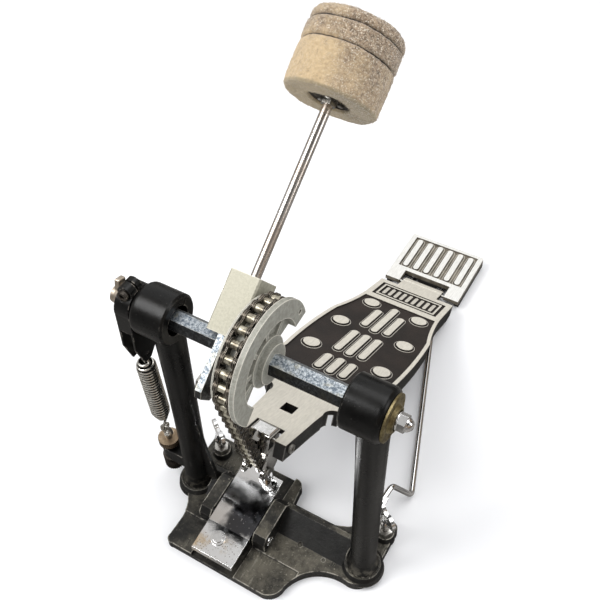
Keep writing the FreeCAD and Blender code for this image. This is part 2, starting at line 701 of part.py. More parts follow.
# ---------------------------------------------------------------- footboard
def board_outline(inset=0.0, z=0.0):
    """Board outline in level board coordinates, toe at -Y."""
    i = inset
    return outline((38 - i, -16 - i), [
        (38.5 - i, -55), (42 - i, -82, 47.5 - i, -105), (50.2 - i, -150, 49 - i, -196),
        (45 - i, -230 + i / 2, 31 - i, -250 + i), (-31 + i, -250 + i),
        (-45 + i, -230 + i / 2, -49 + i, -196), (-50.2 + i, -150, -47.5 + i, -105),
        (-42 + i, -82, -38.5 + i, -55), (-38 + i, -16 - i), (38 - i, -16 - i)], z)


def neck_outline(inset=0.0, z=0.0):
    i = inset
    end = -BOARD_END + i
    return outline((31 - i, -245), [
        (31 - i, -252), (26 - i, -254, 23 - i, -264), (22 - i, -276), (20 - i, end), (-20 + i, end),
        (-22 + i, -276), (-23 + i, -264), (-26 + i, -254, -31 + i, -252), (-31 + i, -245), (31 - i, -245)], z)


def footboard():
    skirt = 14.0
    wall = 3.2
    top = BOARD_TOP
    plate_t = 4.4
    body = fuse(slab(board_outline(0, top - skirt), skirt), slab(neck_outline(0, top - skirt), skirt))
    hollow = slab(board_outline(wall, top - skirt - 1), skirt + 1 - plate_t)
    neck_hollow = slab(neck_outline(wall, top - skirt - 1), skirt + 1 - plate_t)
    bridge = box((-27, 27), (-256, -240), (top - skirt - 1, top - plate_t))
    body = body.cut(hollow).cut(neck_hollow).cut(bridge)
    # the toe end is solid, with a notch for the clip and a hole for its screw
    toe = slab(neck_outline(0.5, top - skirt), skirt - 1).common(
        box((-30, 30), (-BOARD_END - 1, -BOARD_END + 11), (top - skirt, top)))
    notch = box((-11.4, 11.4), (-BOARD_END - 1, -BOARD_END + 14.5), (top - skirt - 1, top + 1))
    body = body.fuse(toe).cut(notch).cut(rod_x((-16, 30), *TOE_SCREW, 2.05))
    # the skirt is cut away at the heel, over the stabiliser wire
    body = body.cut(prism_x([(0, -3.8), (-30, -13.1), (-30, -20), (0, -20)], (-60, 60)))
    # tread recess with raised bars and dots, and a plain ribbed panel behind it
    depth = 1.3
    rim = 3.2
    tread = slab(board_outline(rim, top - depth), depth + 1)
    tread = tread.common(box((-60, 60), (-246, -60), (0, 10)))
    body = body.cut(tread)
    panel = box((-33, 33), (-52, -22), (top - depth, top + 1))
    body = body.cut(panel)
    raised = []
    base = top - depth - 0.2
    for s, half in ((71.5, 24.0), (124, 31.0), (177.5, 32.6)):
        for x in (-half, half):
            dot = rod_z(x, -s, (base, top), 7.2)
            raised.append(dot)
    for x, spans in ((-11.6, ((81, 118), (132, 173), (184, 209))),
                     (-0.5, ((67, 122), (132, 174), (183, 210))),
                     (10.6, ((80, 119), (132, 172), (184, 209)))):
        for s0, s1 in spans:
            raised.append(pill(x, (-s1, -s0), (base, top), 3.0))
    for k in range(9):
        raised.append(pill(-24 + 6 * k, (-45, -29), (base, top - 0.3), 1.7))
    frame = box((-30, 30), (-49.5, -24.5), (base, top)).cut(box((-28.2, 28.2), (-47.7, -26.3), (0, 9)))
    body = body.fuse(raised + [frame])
    # blind square window in the neck
    body = body.fuse(box((-8, 8), (-282, -266.5), (top - 9, top - 4)))
    body = body.cut(box((-5.3, 5.3), (-279.5, -268.8), (top - 7.5, 10)))
    # ribs under the plate
    ribs = [box((-45, 45), (-s - 1.5, -s + 1.5), (top - 10, top - plate_t + 0.2)) for s in (100, 160, 205)]
    ribs += [box((x - 1.5, x + 1.5), (-248, -20), (top - 9, top - plate_t + 0.2)) for x in (-20, 20)]
    inside = slab(board_outline(wall - 0.2, top - 12), 10)
    ribs = [r.common(inside) for r in ribs]
    tongue = fuse(box((-20.5, 20.5), (-20, 5.5), (-1.4, top)),
                  rod_x((-20.5, 20.5), 0, 0, HINGE_R))
    body = body.fuse(ribs + [tongue])
    body = body.cut(rod_x((-25, 25), 0, 0, PIN_R + 0.05))
    return on_board(body.removeSplitter())


def toe_clip():
    """Yoke under the toe; its two ears take the last chain pin."""
    top = BOARD_TOP
    x = (CHAIN_X - 8.8, CHAIN_X + 8.8)
    block = box((-8.8, 8.8), (-BOARD_END - 3, -BOARD_END + 11.6), (top - 12, top + 3.0))
    block = block.makeFillet(2.6, [e for e in block.Edges if e.CenterOfMass.z > top + 2.5])
    body = on_board(block)
    y, z = chain_pins()[-1]
    # straight chrome body down to the ears
    drop = prism_x([(y + 6.2, 127), (y + 12.5, 127), (y + 12.5, z - 4), (y + 9, z - 6), (y + 6.2, z - 4)], x)
    ears = []
    for span in ((x[0], CHAIN_X - 6.4), (CHAIN_X + 6.4, x[1])):
        ear = fuse(rod_x(span, y - PIN_DRIFT, z, 4.8), rod_x(span, y, z, 4.8),
                   prism_x([(y - PIN_DRIFT, z - 4.8), (y + 9, z - 6), (y + 12.5, z + 4),
                            (y + 12.5, 126), (y + 4, 122), (y - PIN_DRIFT, z + 4.8)], span))
        ears.append(ear)
    body = fuse(body, drop, *ears)
    # the pin holes are short slots, because the chain end drifts a little in mid stroke
    across = (x[0] - 1, x[1] + 1)
    for c in (y, y - PIN_DRIFT):
        body = body.cut(rod_x(across, c, z, 2.1))
    body = body.cut(box(across, (y - PIN_DRIFT, y), (z - 2.1, z + 2.1)))
    # the chain swings back between the ears as the board goes down
    body = body.cut(box((CHAIN_X - 6.4, CHAIN_X + 6.4), (-40, y + 6.0), (90, 150)))
    return body.cut(on_board(rod_x((-20, 20), *TOE_SCREW, 2.05)))


def toe_clip_screw():
    """Cross screw through the toe end of the board and the clip."""
    shank = rod_x((-15, 20.9), *TOE_SCREW, 2.0)
    head = rod_x((20.9, 22.9), *TOE_SCREW, 3.4).cut(hex_x((21.8, 23.5), *TOE_SCREW, 3.0))
    return on_board(fuse(shank, head))


def toe_pin():
    """Headed pin through the last chain link and the ears of the clip."""
    y, z = chain_pins()[-1]
    pin = tube_x((CHAIN_X - 10.4, CHAIN_X + 10.4), y, z, 3.0, 1.7)
    pin = pin.cut(rod_x((CHAIN_X - 9.1, CHAIN_X + 9.1), y, z, 4))
    shank = rod_x((CHAIN_X - 10.4, CHAIN_X + 10.4), y, z, 1.7)
    return fuse(shank, *pin.Solids).cut(rod_x((CHAIN_X - 6.1, CHAIN_X + 6.1), y, z, 4))


# ---------------------------------------------------------------- heel
def heel_plate():
    y0, y1 = HINGE_Y + 1, HEEL_END
    wall = 3.0
    top_t = 4.2
    wire = outline((-HEEL_HALF, y0), [
        (-24, y0), (-24, y0 + 11.5), (24, y0 + 11.5), (24, y0), (HEEL_HALF, y0), (HEEL_HALF, y1 - 1.5),
        (HEEL_HALF - 0.5, y1 - 0.5, HEEL_HALF - 1.5, y1), (-HEEL_HALF + 1.5, y1),
        (-HEEL_HALF + 0.5, y1 - 0.5, -HEEL_HALF, y1 - 1.5), (-HEEL_HALF, y0)], 1.5)
    body = slab(wire, HEEL_TOP - 1.5)
    hollow = box((-HEEL_HALF + wall, HEEL_HALF - wall), (y0 + 14.5, y1 - wall), (0, HEEL_TOP - top_t))
    body = body.cut(hollow)
    body = body.cut(box((-34, 34), (y0 + 16, y1 - 3.5), (HEEL_TOP - 1.6, HEEL_TOP + 1)))
    bars = [pill(x, (y0 + 17.5, y1 - 5.5), (HEEL_TOP - 1.8, HEEL_TOP), 2.7)
            for x in (-28, -16.8, -5.6, 5.6, 16.8, 28)]
    barrels = []
    for span in ((-39, -24), (24, 39)):
        barrels.append(rod_x(span, HINGE_Y, HINGE_Z, HINGE_R))
        barrels.append(box(span, (HINGE_Y - 2.4, y0 + 1), (HINGE_Z, HEEL_TOP)))
    body = fuse(body, *(bars + barrels))
    body = body.cut(rod_x((-50, 34), HINGE_Y, HINGE_Z, PIN_R + 0.05))
    # the stabiliser rod runs in under the front and is clamped to two pads
    for side in (-1, 1):
        body = body.cut(box((min(side * 10, side * 34), max(side * 10, side * 34)), (y0 - 2, y0 + 16),
                            (0, WIRE_Z + WIRE_R + 0.4)))
    return body


def heel_pads():
    pads = []
    for x in (-31, 31):
        pads.append(box((x - 5, x + 5), (HEEL_END - 15, HEEL_END - 5), (0, HEEL_TOP - 4.2)))
    return Part.makeCompound(pads)


def hinge_pin():
    return rod_x((-38.5, 34), HINGE_Y, HINGE_Z, PIN_R)


# ---------------------------------------------------------------- stabiliser
def wire_leg(side):
    """Points of one leg, from its hook on the base to the middle of the heel."""
    x = SPUR_X[0] if side < 0 else SPUR_X[1]
    slot = x - 12.2 * side
    return [V(slot, 44, 22.6), V(slot + 1.5 * side, 58, 24.6), V(x + 3 * side, 68, WIRE_Z + 2),
            V(17 * side, 272, WIRE_Z), V(14 * side, 318, WIRE_Z)]


def stabiliser_wire():
    """One bent rod; its ends are flattened to blades that hook down into slots in the base."""
    right = wire_leg(1)
    left = wire_leg(-1)
    rod = bent_rod(right + left[::-1], WIRE_R, 5.0)
    blade = [(31, 0.6), (32.8, 0.6), (32.8, 18.4), (36, 20.4), (47, 21.6), (47, 23.8), (35, 22.6), (31, 19.4)]
    blades = [prism_x(blade, (leg[0].x - 3.6, leg[0].x + 3.6)) for leg in (right, left)]
    return fuse(rod, *blades)


def wire_saddle():
    strap = box((-9, 9), (313, 323), (0.4, WIRE_Z - WIRE_R))
    posts = [box((x - 2, x + 2), (313, 323), (0.4, HEEL_TOP - 4.2)) for x in (-8, 8)]
    return strap.fuse(posts).cut(rod_x((-20, 20), 318, WIRE_Z, WIRE_R + 0.1))


# ---------------------------------------------------------------- hoop clamp
def clamp_plate():
    t = 2.6
    py, pz = CLAMP_PIVOT
    top = [(-62, 19.5), (-37, 22), (16, 31)]
    loop = top + [(16, 31 - t), (-37, 22 - t), (-60, 19.6 - t), (-61.5, 15.5), (-62.8, 16)]
    body = prism_x(loop, CLAMP_X)
    flanges = []
    flange = [(-46, 20), (-37, 21.5), (10, 29.5), (10, 24), (-20, 17), (-24, 14), (-32, 14), (-36, 16)]
    for span in ((CLAMP_X[0], CLAMP_X[0] + t), (CLAMP_X[1] - t, CLAMP_X[1])):
        flanges.append(prism_x(flange, span))
    body = fuse(body, *flanges)
    body = body.cut(rod_x((-60, 20), py, pz, 2.55))
    body = body.cut(rod_z(CLAMP_SCREW[0], CLAMP_SCREW[1], (0, 50), 3.05))
    return body.cut(rod_z(*CLAMP_RIVET, (0, 50), 2.6))


def clamp_jaw():
    """Rubber-faced jaw under the front of the plate, held by one rivet."""
    return prism_x([(-59, 16.8), (-59, 14.3), (-39, 16.4), (-39, 19.0)], (-36, -8)).cut(
        rod_z(*CLAMP_RIVET, (0, 50), 2.6))


def clamp_rivet():
    x, y = CLAMP_RIVET
    flange = Part.makeCylinder(6, 0.9, V(x, y, 21.0), V(0, -0.1, 1))
    head = Part.makeCylinder(4, 1.9, V(x, y, 21.0), V(0, -0.1, 1))
    return fuse(flange, head, rod_z(x, y, (15.6, 21.5), 2.5))


def clamp_pivot_pin():
    """Slotted pin through the cheeks and the plate."""
    y, z = CLAMP_PIVOT
    shank = rod_x((-51, 9.5), y, z, 2.5)
    head = rod_x((9, 10.6), y, z, 4.0)
    return fuse(shank, head).cut(box((10, 12), (y - 5, y + 5), (z - 0.5, z + 0.5)))


def lobed_head(x, y, z, r, lobes, lobe_r):
    parts = [rod_z(x, y, z, r)]
    for k in range(lobes):
        a = 2 * math.pi * k / lobes + 0.5
        parts.append(rod_z(x + r * math.cos(a), y + r * math.sin(a), z, lobe_r))
    return fuse(*parts)


def clamp_screw():
    x, y = CLAMP_SCREW
    shank = rod_z(x, y, (7, 56), 3.0)
    collar = rod_z(x, y, (36, 42), 5.5)
    head = lobed_head(x, y, (50, 59), 4.6, 4, 2.6)
    # rounded foot, so that it can rock on the floor of the channel
    foot = lathe_z([(0, 4.6), (1.4, 4.75), (2.8, 5.3), (3.4, 6.3), (3.4, 7.5), (0, 7.5)], x, y)
    return fuse(shank, collar, head, foot)


# ---------------------------------------------------------------- spurs
def spur(x):
    tip = lathe_z([(0, 0.2), (3.0, 5.0), (3.0, 40), (0, 40)], x, SPUR_Y)
    neck = lathe_z([(0, 30), (4.4, 30), (4.4, 33), (3.2, 34), (3.2, 38), (0, 38)], x, SPUR_Y)
    wings = []
    for turn in (-35, 145):
        wing = Part.makeCylinder(6.0, 3.0, V(x + 6.5, SPUR_Y + 1.5, 42), V(0, -1, 0))
        wing = wing.fuse(box((x, x + 6.5), (SPUR_Y - 1.5, SPUR_Y + 1.5), (35, 45)))
        wing.rotate(V(x, SPUR_Y, 0), V(0, 0, 1), turn)
        wings.append(wing)
    return fuse(tip, neck, *wings)


def spur_nuts():
    return Part.makeCompound([hex_z(x, SPUR_Y, (16, 20.5), 11).cut(rod_z(x, SPUR_Y, (15, 22), 3.05))
                              for x in SPUR_X])


# ---------------------------------------------------------------- write every node
save(base_casting(), "base_casting")
save(pillar(-1), "left_pillar")
save(pillar(1), "right_pillar")
save(pillar_bolts(), "pillar_bolts")
save(axle(), "hex_axle")
save(bearing_outer_rings(), "bearing_outer_rings")
save(bearing_inner_rings(), "bearing_inner_rings")
save(bearing_balls(), "bearing_balls")
save(right_bearing_cap(), "right_bearing_cap")
save(left_bearing_cap(), "left_bearing_cap")
save(axle_dome_nut(), "axle_dome_nut")
save(cam(), "chain_cam")
save(cam_screw(), "cam_set_screw")
save(chain_run(0, WRAP_LINKS - UNWRAP_LINKS), "chain_cam_run")
for n in range(UNWRAP_LINKS):
    k = WRAP_LINKS - UNWRAP_LINKS + n
    save(chain_run(k, k + 1), "chain_link_%d" % (n + 1))
save(chain_run(WRAP_LINKS, WRAP_LINKS + DROP_LINKS), "chain_drop_run")
save(beater_block(), "beater_block")
save(balance_arm(), "balance_arm")
save(block_screw(), "block_screw")
save(arm_bolt(), "arm_bolt")
save(beater_set_screw(), "beater_set_screw")
save(beater_shaft(), "beater_shaft")
save(felt_disc(0), "felt_lower")
save(felt_disc(1), "felt_middle")
save(felt_disc(2), "felt_cap")
save(beater_washer(), "beater_washer")
save(beater_screws(), "beater_screws")
save(beater_nuts(), "beater_nuts")
save(spring_lever(), "spring_lever")
save(lever_clamp_screw(), "lever_clamp_screw")
save(lever_pin(), "lever_pin")
save(lever_washer(), "lever_washer")
save(wing_nut(), "lever_wing_nut")
save(spring_coil(), "return_spring")
save(hook(False), "spring_lower_hook")
save(hook(True), "spring_upper_hook")
save(eye_bolt(), "spring_eye_bolt")
save(knurled((46, 52), 8.8, 36), "tension_nut")
save(knurled((14, 28), 8.4, 30), "lock_nut")
save(footboard(), "footboard")
save(toe_clip(), "toe_clip")
save(toe_clip_screw(), "toe_clip_screw")
save(toe_pin(), "toe_pin")
save(heel_plate(), "heel_plate")
save(heel_pads(), "heel_pads")
save(hinge_pin(), "hinge_pin")
save(stabiliser_wire(), "stabiliser_wire")
save(wire_saddle(), "wire_saddle")
save(clamp_plate(), "clamp_plate")
save(clamp_jaw(), "clamp_jaw")
save(clamp_rivet(), "clamp_rivet")
save(clamp_pivot_pin(), "clamp_pivot_pin")
save(clamp_screw(), "clamp_screw")
save(spur(SPUR_X[0]), "left_spur")
save(spur(SPUR_X[1]), "right_spur")
save(spur_nuts(), "spur_nuts")
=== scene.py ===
import json
import math
import random

import bpy
from mathutils import Matrix, Vector, noise


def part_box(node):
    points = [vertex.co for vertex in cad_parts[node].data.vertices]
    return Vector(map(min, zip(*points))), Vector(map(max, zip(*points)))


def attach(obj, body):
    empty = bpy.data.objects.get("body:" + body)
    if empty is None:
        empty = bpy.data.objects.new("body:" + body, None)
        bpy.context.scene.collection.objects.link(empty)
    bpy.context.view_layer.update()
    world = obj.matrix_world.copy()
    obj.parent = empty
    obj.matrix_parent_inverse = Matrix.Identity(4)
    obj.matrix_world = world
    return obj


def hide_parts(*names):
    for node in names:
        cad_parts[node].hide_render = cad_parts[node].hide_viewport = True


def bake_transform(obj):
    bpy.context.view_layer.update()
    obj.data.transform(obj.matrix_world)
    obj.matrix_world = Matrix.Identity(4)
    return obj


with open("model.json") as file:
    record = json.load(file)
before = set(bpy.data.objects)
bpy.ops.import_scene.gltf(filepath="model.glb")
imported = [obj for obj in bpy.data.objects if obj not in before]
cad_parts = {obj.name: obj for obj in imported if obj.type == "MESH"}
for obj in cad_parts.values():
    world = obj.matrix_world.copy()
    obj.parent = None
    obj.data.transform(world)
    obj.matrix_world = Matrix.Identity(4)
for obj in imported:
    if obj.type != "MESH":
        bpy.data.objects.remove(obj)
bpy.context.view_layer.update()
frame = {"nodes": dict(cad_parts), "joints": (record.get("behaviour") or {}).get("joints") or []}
NODES = frame["nodes"]
JOINTS = {j["name"]: j for j in frame["joints"]}
MM = 0.001

HINGE = Vector(JOINTS["footboard_press"]["pos_m"])
BEATER_AXIS = Vector(JOINTS["beater_height"]["axis"])

BOARD_PITCH = math.radians(23.9)    # slope of the footboard at rest
BOARD_TOP = 2.4 * MM                # its upper face, over the plane through the hinge
BOARD_FLOOR = BOARD_TOP - 1.3 * MM  # floor of its recess
HEEL_TOP = 12.5 * MM
HEEL_FLOOR = HEEL_TOP - 1.6 * MM
CHAIN_X = -2 * MM                   # middle of the chain
ROLLER_HALF = 2.9 * MM              # half the length of a chain roller

COIL_R = 6.6 * MM
COIL_WIRE = 1.05 * MM
COIL_TURNS = 24
HOOK_R = 3.1 * MM
FIBRES_PER_LAYER = 1800
OUTLINE_WIRE = 0.26 * MM

# Tread of the footboard in mm: dots as (distance from the hinge, distance from the middle line), bars as
# (x, ends of the bars along the board), and the bars of the heel plate as x.
DOT_R = 8.9
DOTS = ((71.5, 24.0), (124, 31.0), (177.5, 32.6))
BAR_R = 4.5
BARS = (
    (-11.6, ((81, 118), (132, 173), (184, 209))),
    (-0.5, ((67, 122), (132, 174), (183, 210))),
    (10.6, ((80, 119), (132, 172), (184, 209))),
)
HEEL_BAR_R = 4.3 * MM
HEEL_BARS = (-28, -16.8, -5.6, 5.6, 16.8, 28)
HEEL_BAR_ENDS = (44.1 * MM, 8.2 * MM)   # distances of the bars' ends from the rear of the heel plate

CAMERA_PLACE = (0.1928, -0.2529, 0.6264)
CAMERA_ANGLES = (32.5, 48.6, -3.0)      # azimuth, elevation and roll in degrees
CAMERA_LENS = 49.74
SOFTBOX = (-0.35, 0.65, 0.68)           # direction of the white panel that only reflections see


# ------------------------------------------------------------------ node materials
def rgb(r, g, b):
    """Opaque linear colour."""
    return (r, g, b, 1.0)


class Shader:
    """A node material. Each helper adds a node and returns its output."""

    def __init__(self, name):
        """A new material with its object coordinates."""
        self.material = bpy.data.materials.new(name)
        self.material.use_nodes = True
        self.tree = self.material.node_tree
        self.bsdf = next(n for n in self.tree.nodes if n.type == "BSDF_PRINCIPLED")
        self.place = self.node("ShaderNodeTexCoord").outputs["Object"]
        split = self.node("ShaderNodeSeparateXYZ", Vector=self.place)
        self.x, self.y, self.z = split.outputs

    def put(self, socket, value):
        """Links or sets an input."""
        if isinstance(value, bpy.types.NodeSocket):
            self.tree.links.new(value, socket)
        else:
            socket.default_value = value

    def node(self, kind, **inputs):
        """Adds a node; an input named with _ has a space in its place."""
        made = self.tree.nodes.new(kind)
        for key, value in inputs.items():
            self.put(made.inputs[key.replace("_", " ")], value)
        return made

    def math(self, operation, a, b=0.0, clamp=False):
        """One math node."""
        made = self.tree.nodes.new("ShaderNodeMath")
        made.operation = operation
        made.use_clamp = clamp
        self.put(made.inputs[0], a)
        self.put(made.inputs[1], b)
        return made.outputs[0]

    def times(self, a, b):
        return self.math("MULTIPLY", a, b)

    def plus(self, a, b, clamp=False):
        return self.math("ADD", a, b, clamp)

    def stretch(self, factors):
        """Object coordinates scaled by axis."""
        made = self.tree.nodes.new("ShaderNodeVectorMath")
        made.operation = "MULTIPLY"
        self.put(made.inputs[0], self.place)
        made.inputs[1].default_value = factors
        return made.outputs[0]

    def noise(self, scale, detail=5.0, roughness=0.6, stretch=None, distortion=0.0):
        """Noise around 0.5, finer with a larger scale, in streaks where stretch is small."""
        place = self.stretch(stretch) if stretch else self.place
        made = self.node("ShaderNodeTexNoise", Vector=place, Scale=scale, Detail=detail,
                         Roughness=roughness, Distortion=distortion)
        return made.outputs[0]

    def cells(self, scale):
        """Distance to the nearest of scattered points: small at a speck."""
        return self.node("ShaderNodeTexVoronoi", Vector=self.place, Scale=scale).outputs["Distance"]

    def step(self, value, low, high, bottom=0.0, top=1.0):
        """Smooth change from bottom to top while value goes from low to high."""
        made = self.node("ShaderNodeMapRange", Value=value, From_Min=low, From_Max=high,
                         To_Min=bottom, To_Max=top)
        made.interpolation_type = "SMOOTHSTEP"
        return made.outputs[0]

    def mix(self, factor, a, b):
        """Colour a where the factor is 0 and b where it is 1."""
        made = self.tree.nodes.new("ShaderNodeMix")
        made.data_type = "RGBA"
        self.put(made.inputs[0], factor)
        self.put(made.inputs[6], a)
        self.put(made.inputs[7], b)
        return made.outputs[2]

    def edges(self, reach, low=0.9, high=0.6):
        """1 near a convex edge, 0 on a flat."""
        made = self.node("ShaderNodeAmbientOcclusion", Distance=reach)
        made.inside = True
        made.only_local = True
        made.samples = 6
        return self.step(made.outputs["AO"], low, high)

    def corners(self, reach, low=0.95, high=0.45):
        """1 in a hollow or beside a wall, 0 in the open."""
        made = self.node("ShaderNodeAmbientOcclusion", Distance=reach)
        made.samples = 6
        return self.step(made.outputs["AO"], low, high)

    def facing_up(self, low=0.75, high=0.95):
        """1 where the surface faces up at rest."""
        normal = self.node("ShaderNodeTexCoord").outputs["Normal"]
        return self.step(self.node("ShaderNodeSeparateXYZ", Vector=normal).outputs[2], low, high)

    def screw_thread(self, x, y, pitch):
        """0 on the crest of a thread that climbs round the vertical line at x, y; 1 in its root."""
        angle = self.math("ARCTAN2", self.math("SUBTRACT", self.y, y), self.math("SUBTRACT", self.x, x))
        turns = self.plus(self.math("DIVIDE", self.z, pitch), self.math("DIVIDE", angle, 2 * math.pi))
        return self.times(self.math("PINGPONG", turns, 0.5), 2.0)

    def done(self, colour, roughness, metallic=0.0, height=None, depth=0.0, bevel=0.0, **constants):
        """Sets the surface and gives back the material; constants are plain values of other inputs."""
        self.put(self.bsdf.inputs["Base Color"], colour)
        self.put(self.bsdf.inputs["Roughness"], roughness)
        self.put(self.bsdf.inputs["Metallic"], metallic)
        for key, value in constants.items():
            self.bsdf.inputs[key.replace("_", " ")].default_value = value
        normal = None
        if bevel:
            rounded = self.node("ShaderNodeBevel", Radius=bevel)
            rounded.samples = 6
            normal = rounded.outputs[0]
        if height is not None:
            bump = self.node("ShaderNodeBump", Height=height, Distance=depth)
            if normal is not None:
                self.put(bump.inputs["Normal"], normal)
            normal = bump.outputs[0]
        if normal is not None:
            self.put(self.bsdf.inputs["Normal"], normal)
        return self.material


def black_paint():
    """Satin black enamel with dull patches, scratches and worn edges."""
    s = Shader("black_paint")
    blotch = s.noise(34, 6, 0.65)
    peel = s.noise(420, 3, 0.5)
    chips = s.step(s.noise(230, 6, 0.7), 0.50, 0.60)
    worn = s.times(s.edges(0.9 * MM), chips)
    dust = s.step(s.cells(260), 0.10, 0.04)
    scratch = s.step(s.noise(60, 7, 0.75, (1.0, 1.0, 0.12)), 0.665, 0.70)
    base = s.mix(s.step(blotch, 0.3, 0.75), rgb(0.0020, 0.0020, 0.0020), rgb(0.0075, 0.0073, 0.0066))
    base = s.mix(s.times(s.plus(scratch, dust, True), 0.35), base, rgb(0.12, 0.115, 0.105))
    foot = s.times(s.step(s.z, 30 * MM, 12 * MM), s.step(s.noise(150, 6, 0.7), 0.45, 0.62))
    base = s.mix(s.times(foot, 0.5), base, rgb(0.15, 0.135, 0.105))
    colour = s.mix(worn, base, rgb(0.30, 0.27, 0.23))
    rough = s.plus(s.step(blotch, 0.3, 0.7, 0.24, 0.38), s.times(worn, 0.15))
    return s.done(colour, rough, 0.0, peel, 0.05 * MM, 0.7 * MM, Specular_IOR_Level=0.24)


def base_paint():
    """The base: black below and on its sides, worn and dusty on top, with painted shade in its corners and
    hollows.
    """
    s = Shader("base_paint")
    cloud = s.noise(17, 8, 0.72)
    blotch = s.noise(60, 8, 0.7)
    grit = s.noise(560, 6, 0.75)
    pits = s.step(s.cells(300), 0.14, 0.06)
    up = s.times(s.facing_up(0.88, 0.985), s.step(s.z, 3 * MM, 5 * MM))
    dusty = s.mix(s.step(blotch, 0.36, 0.64), rgb(0.018, 0.016, 0.012), rgb(0.125, 0.113, 0.086))
    dusty = s.mix(s.step(grit, 0.58, 0.66), dusty, rgb(0.26, 0.24, 0.19))
    paint = s.mix(s.step(blotch, 0.3, 0.7), rgb(0.004, 0.004, 0.004), rgb(0.014, 0.0135, 0.012))
    body = s.mix(s.times(up, s.step(cloud, 0.38, 0.62, 0.12, 0.95)), paint, dusty)
    streak = s.times(s.step(s.noise(260, 6, 0.7, (1.0, 0.16, 1.0)), 0.56, 0.66), s.step(cloud, 0.45, 0.6))
    body = s.mix(s.times(s.times(streak, up), 0.6), body, rgb(0.24, 0.225, 0.18))
    specks = s.times(s.step(s.cells(210), 0.16, 0.08), s.step(s.noise(80), 0.5, 0.6))
    body = s.mix(s.times(s.times(specks, up), 0.7), body, rgb(0.30, 0.27, 0.21))
    body = s.mix(s.times(pits, 0.6), body, rgb(0.006, 0.006, 0.005))
    worn = s.times(s.edges(1.1 * MM, 0.88, 0.6), s.step(s.noise(120, 6, 0.7), 0.40, 0.55))
    worn = s.times(worn, s.step(s.z, 3.5 * MM, 7 * MM))
    # painted shade in the corners and hollows of the base
    colour = s.mix(s.times(s.corners(4 * MM), 0.7), body, rgb(0.010, 0.009, 0.008))
    colour = s.mix(worn, colour, rgb(0.46, 0.43, 0.36))
    rough = s.step(grit, 0.4, 0.7, 0.34, 0.58)
    height = s.plus(grit, s.times(blotch, 2.0))
    return s.done(colour, rough, 0.0, height, 0.2 * MM, 0.9 * MM, Specular_IOR_Level=0.3)


def plated(name, light, dark, pit, roughness, patch=40, bump=0.05):
    """Plated steel: two tones in patches, with dark pits."""
    s = Shader(name)
    blotch = s.noise(patch, 7, 0.7)
    pits = s.step(s.noise(patch * 14, 5, 0.7), 0.60, 0.68)
    colour = s.mix(s.step(blotch, 0.38, 0.64), dark, light)
    colour = s.mix(s.times(pits, s.step(blotch, 0.6, 0.4, 0.3, 1.0)), colour, pit)
    rough = s.plus(s.step(blotch, 0.65, 0.35, roughness, roughness + 0.16), s.times(pits, 0.2))
    return s.done(colour, rough, 1.0, s.noise(patch * 9, 4), bump * MM, 0.35 * MM)


def chrome(name, pitting=0.0, thread=None):
    """Bright chrome, clean or with small rust pits; thread is (x, y, pitch, top) of a screw along Z."""
    s = Shader(name)
    smear = s.noise(55, 5)
    colour = s.mix(s.step(smear, 0.35, 0.7), rgb(0.88, 0.88, 0.88), rgb(0.74, 0.74, 0.74))
    rough = s.step(smear, 0.4, 0.7, 0.05, 0.12)
    height, depth = s.noise(210, 3), 0.010 * MM
    if pitting:
        field = s.step(s.noise(70, 4), 0.42, 0.62)
        specks = s.times(s.step(s.cells(620), 0.22, 0.12), field)
        colour = s.mix(s.times(specks, pitting), colour, rgb(0.05, 0.04, 0.03))
        rough = s.plus(rough, s.times(specks, 0.4))
    if thread:
        turned = s.times(s.screw_thread(*thread[:3]), s.step(s.z, thread[3], thread[3] - 0.4 * MM))
        # painted shade in the roots of the thread, with brown grime
        colour = s.mix(s.times(turned, 0.85), colour, rgb(0.16, 0.12, 0.08))
        height, depth = s.math("MULTIPLY", turned, -1.0), 0.25 * MM
        rough = s.plus(rough, 0.12)
    return s.done(colour, rough, 1.0, height, depth, 0.3 * MM)


def mottled_zinc():
    """Zinc plating gone blotchy: bright spangles, dark pits and cream patches, painted shade on the faces
    turned down, and worn edges lightened also as a painted highlight.
    """
    s = Shader("mottled_zinc")
    spangle = s.noise(520, 6, 0.85)
    cloud = s.noise(75, 5, 0.65)
    colour = s.mix(s.step(spangle, 0.42, 0.62), rgb(0.09, 0.115, 0.145), rgb(0.55, 0.59, 0.62))
    colour = s.mix(s.step(cloud, 0.52, 0.66, 0.0, 0.7), colour, rgb(0.52, 0.50, 0.41))
    # painted shade on the faces turned down
    under = s.times(s.facing_up(0.55, 0.4), s.step(cloud, 0.35, 0.5, 0.85, 1.0))
    colour = s.mix(s.times(under, 0.9), colour, rgb(0.022, 0.021, 0.020))
    # worn edges, lightened also as a painted highlight along them
    worn = s.times(s.edges(0.7 * MM), 0.6)
    colour = s.mix(worn, colour, rgb(0.75, 0.73, 0.65))
    rough = s.step(spangle, 0.35, 0.65, 0.50, 0.32)
    return s.done(colour, rough, 0.85, spangle, 0.04 * MM, 0.35 * MM)


def spring_steel():
    """Bright wire with painted shade towards the inside of the coil; the mesh carries how far out each point
    is.
    """
    s = Shader("spring_steel")
    crest = s.tree.nodes.new("ShaderNodeAttribute")
    crest.attribute_name = "crest"
    outer = s.step(crest.outputs["Fac"], 0.40, 0.72)
    colour = s.mix(s.step(s.noise(60, 5), 0.35, 0.65), rgb(0.70, 0.68, 0.61), rgb(0.92, 0.91, 0.86))
    # painted shade: the wire darkens where it turns in towards the inside of the coil, between the turns
    colour = s.mix(outer, rgb(0.012, 0.011, 0.009), colour)
    return s.done(colour, s.step(s.noise(150, 4), 0.4, 0.7, 0.22, 0.32), 1.0)


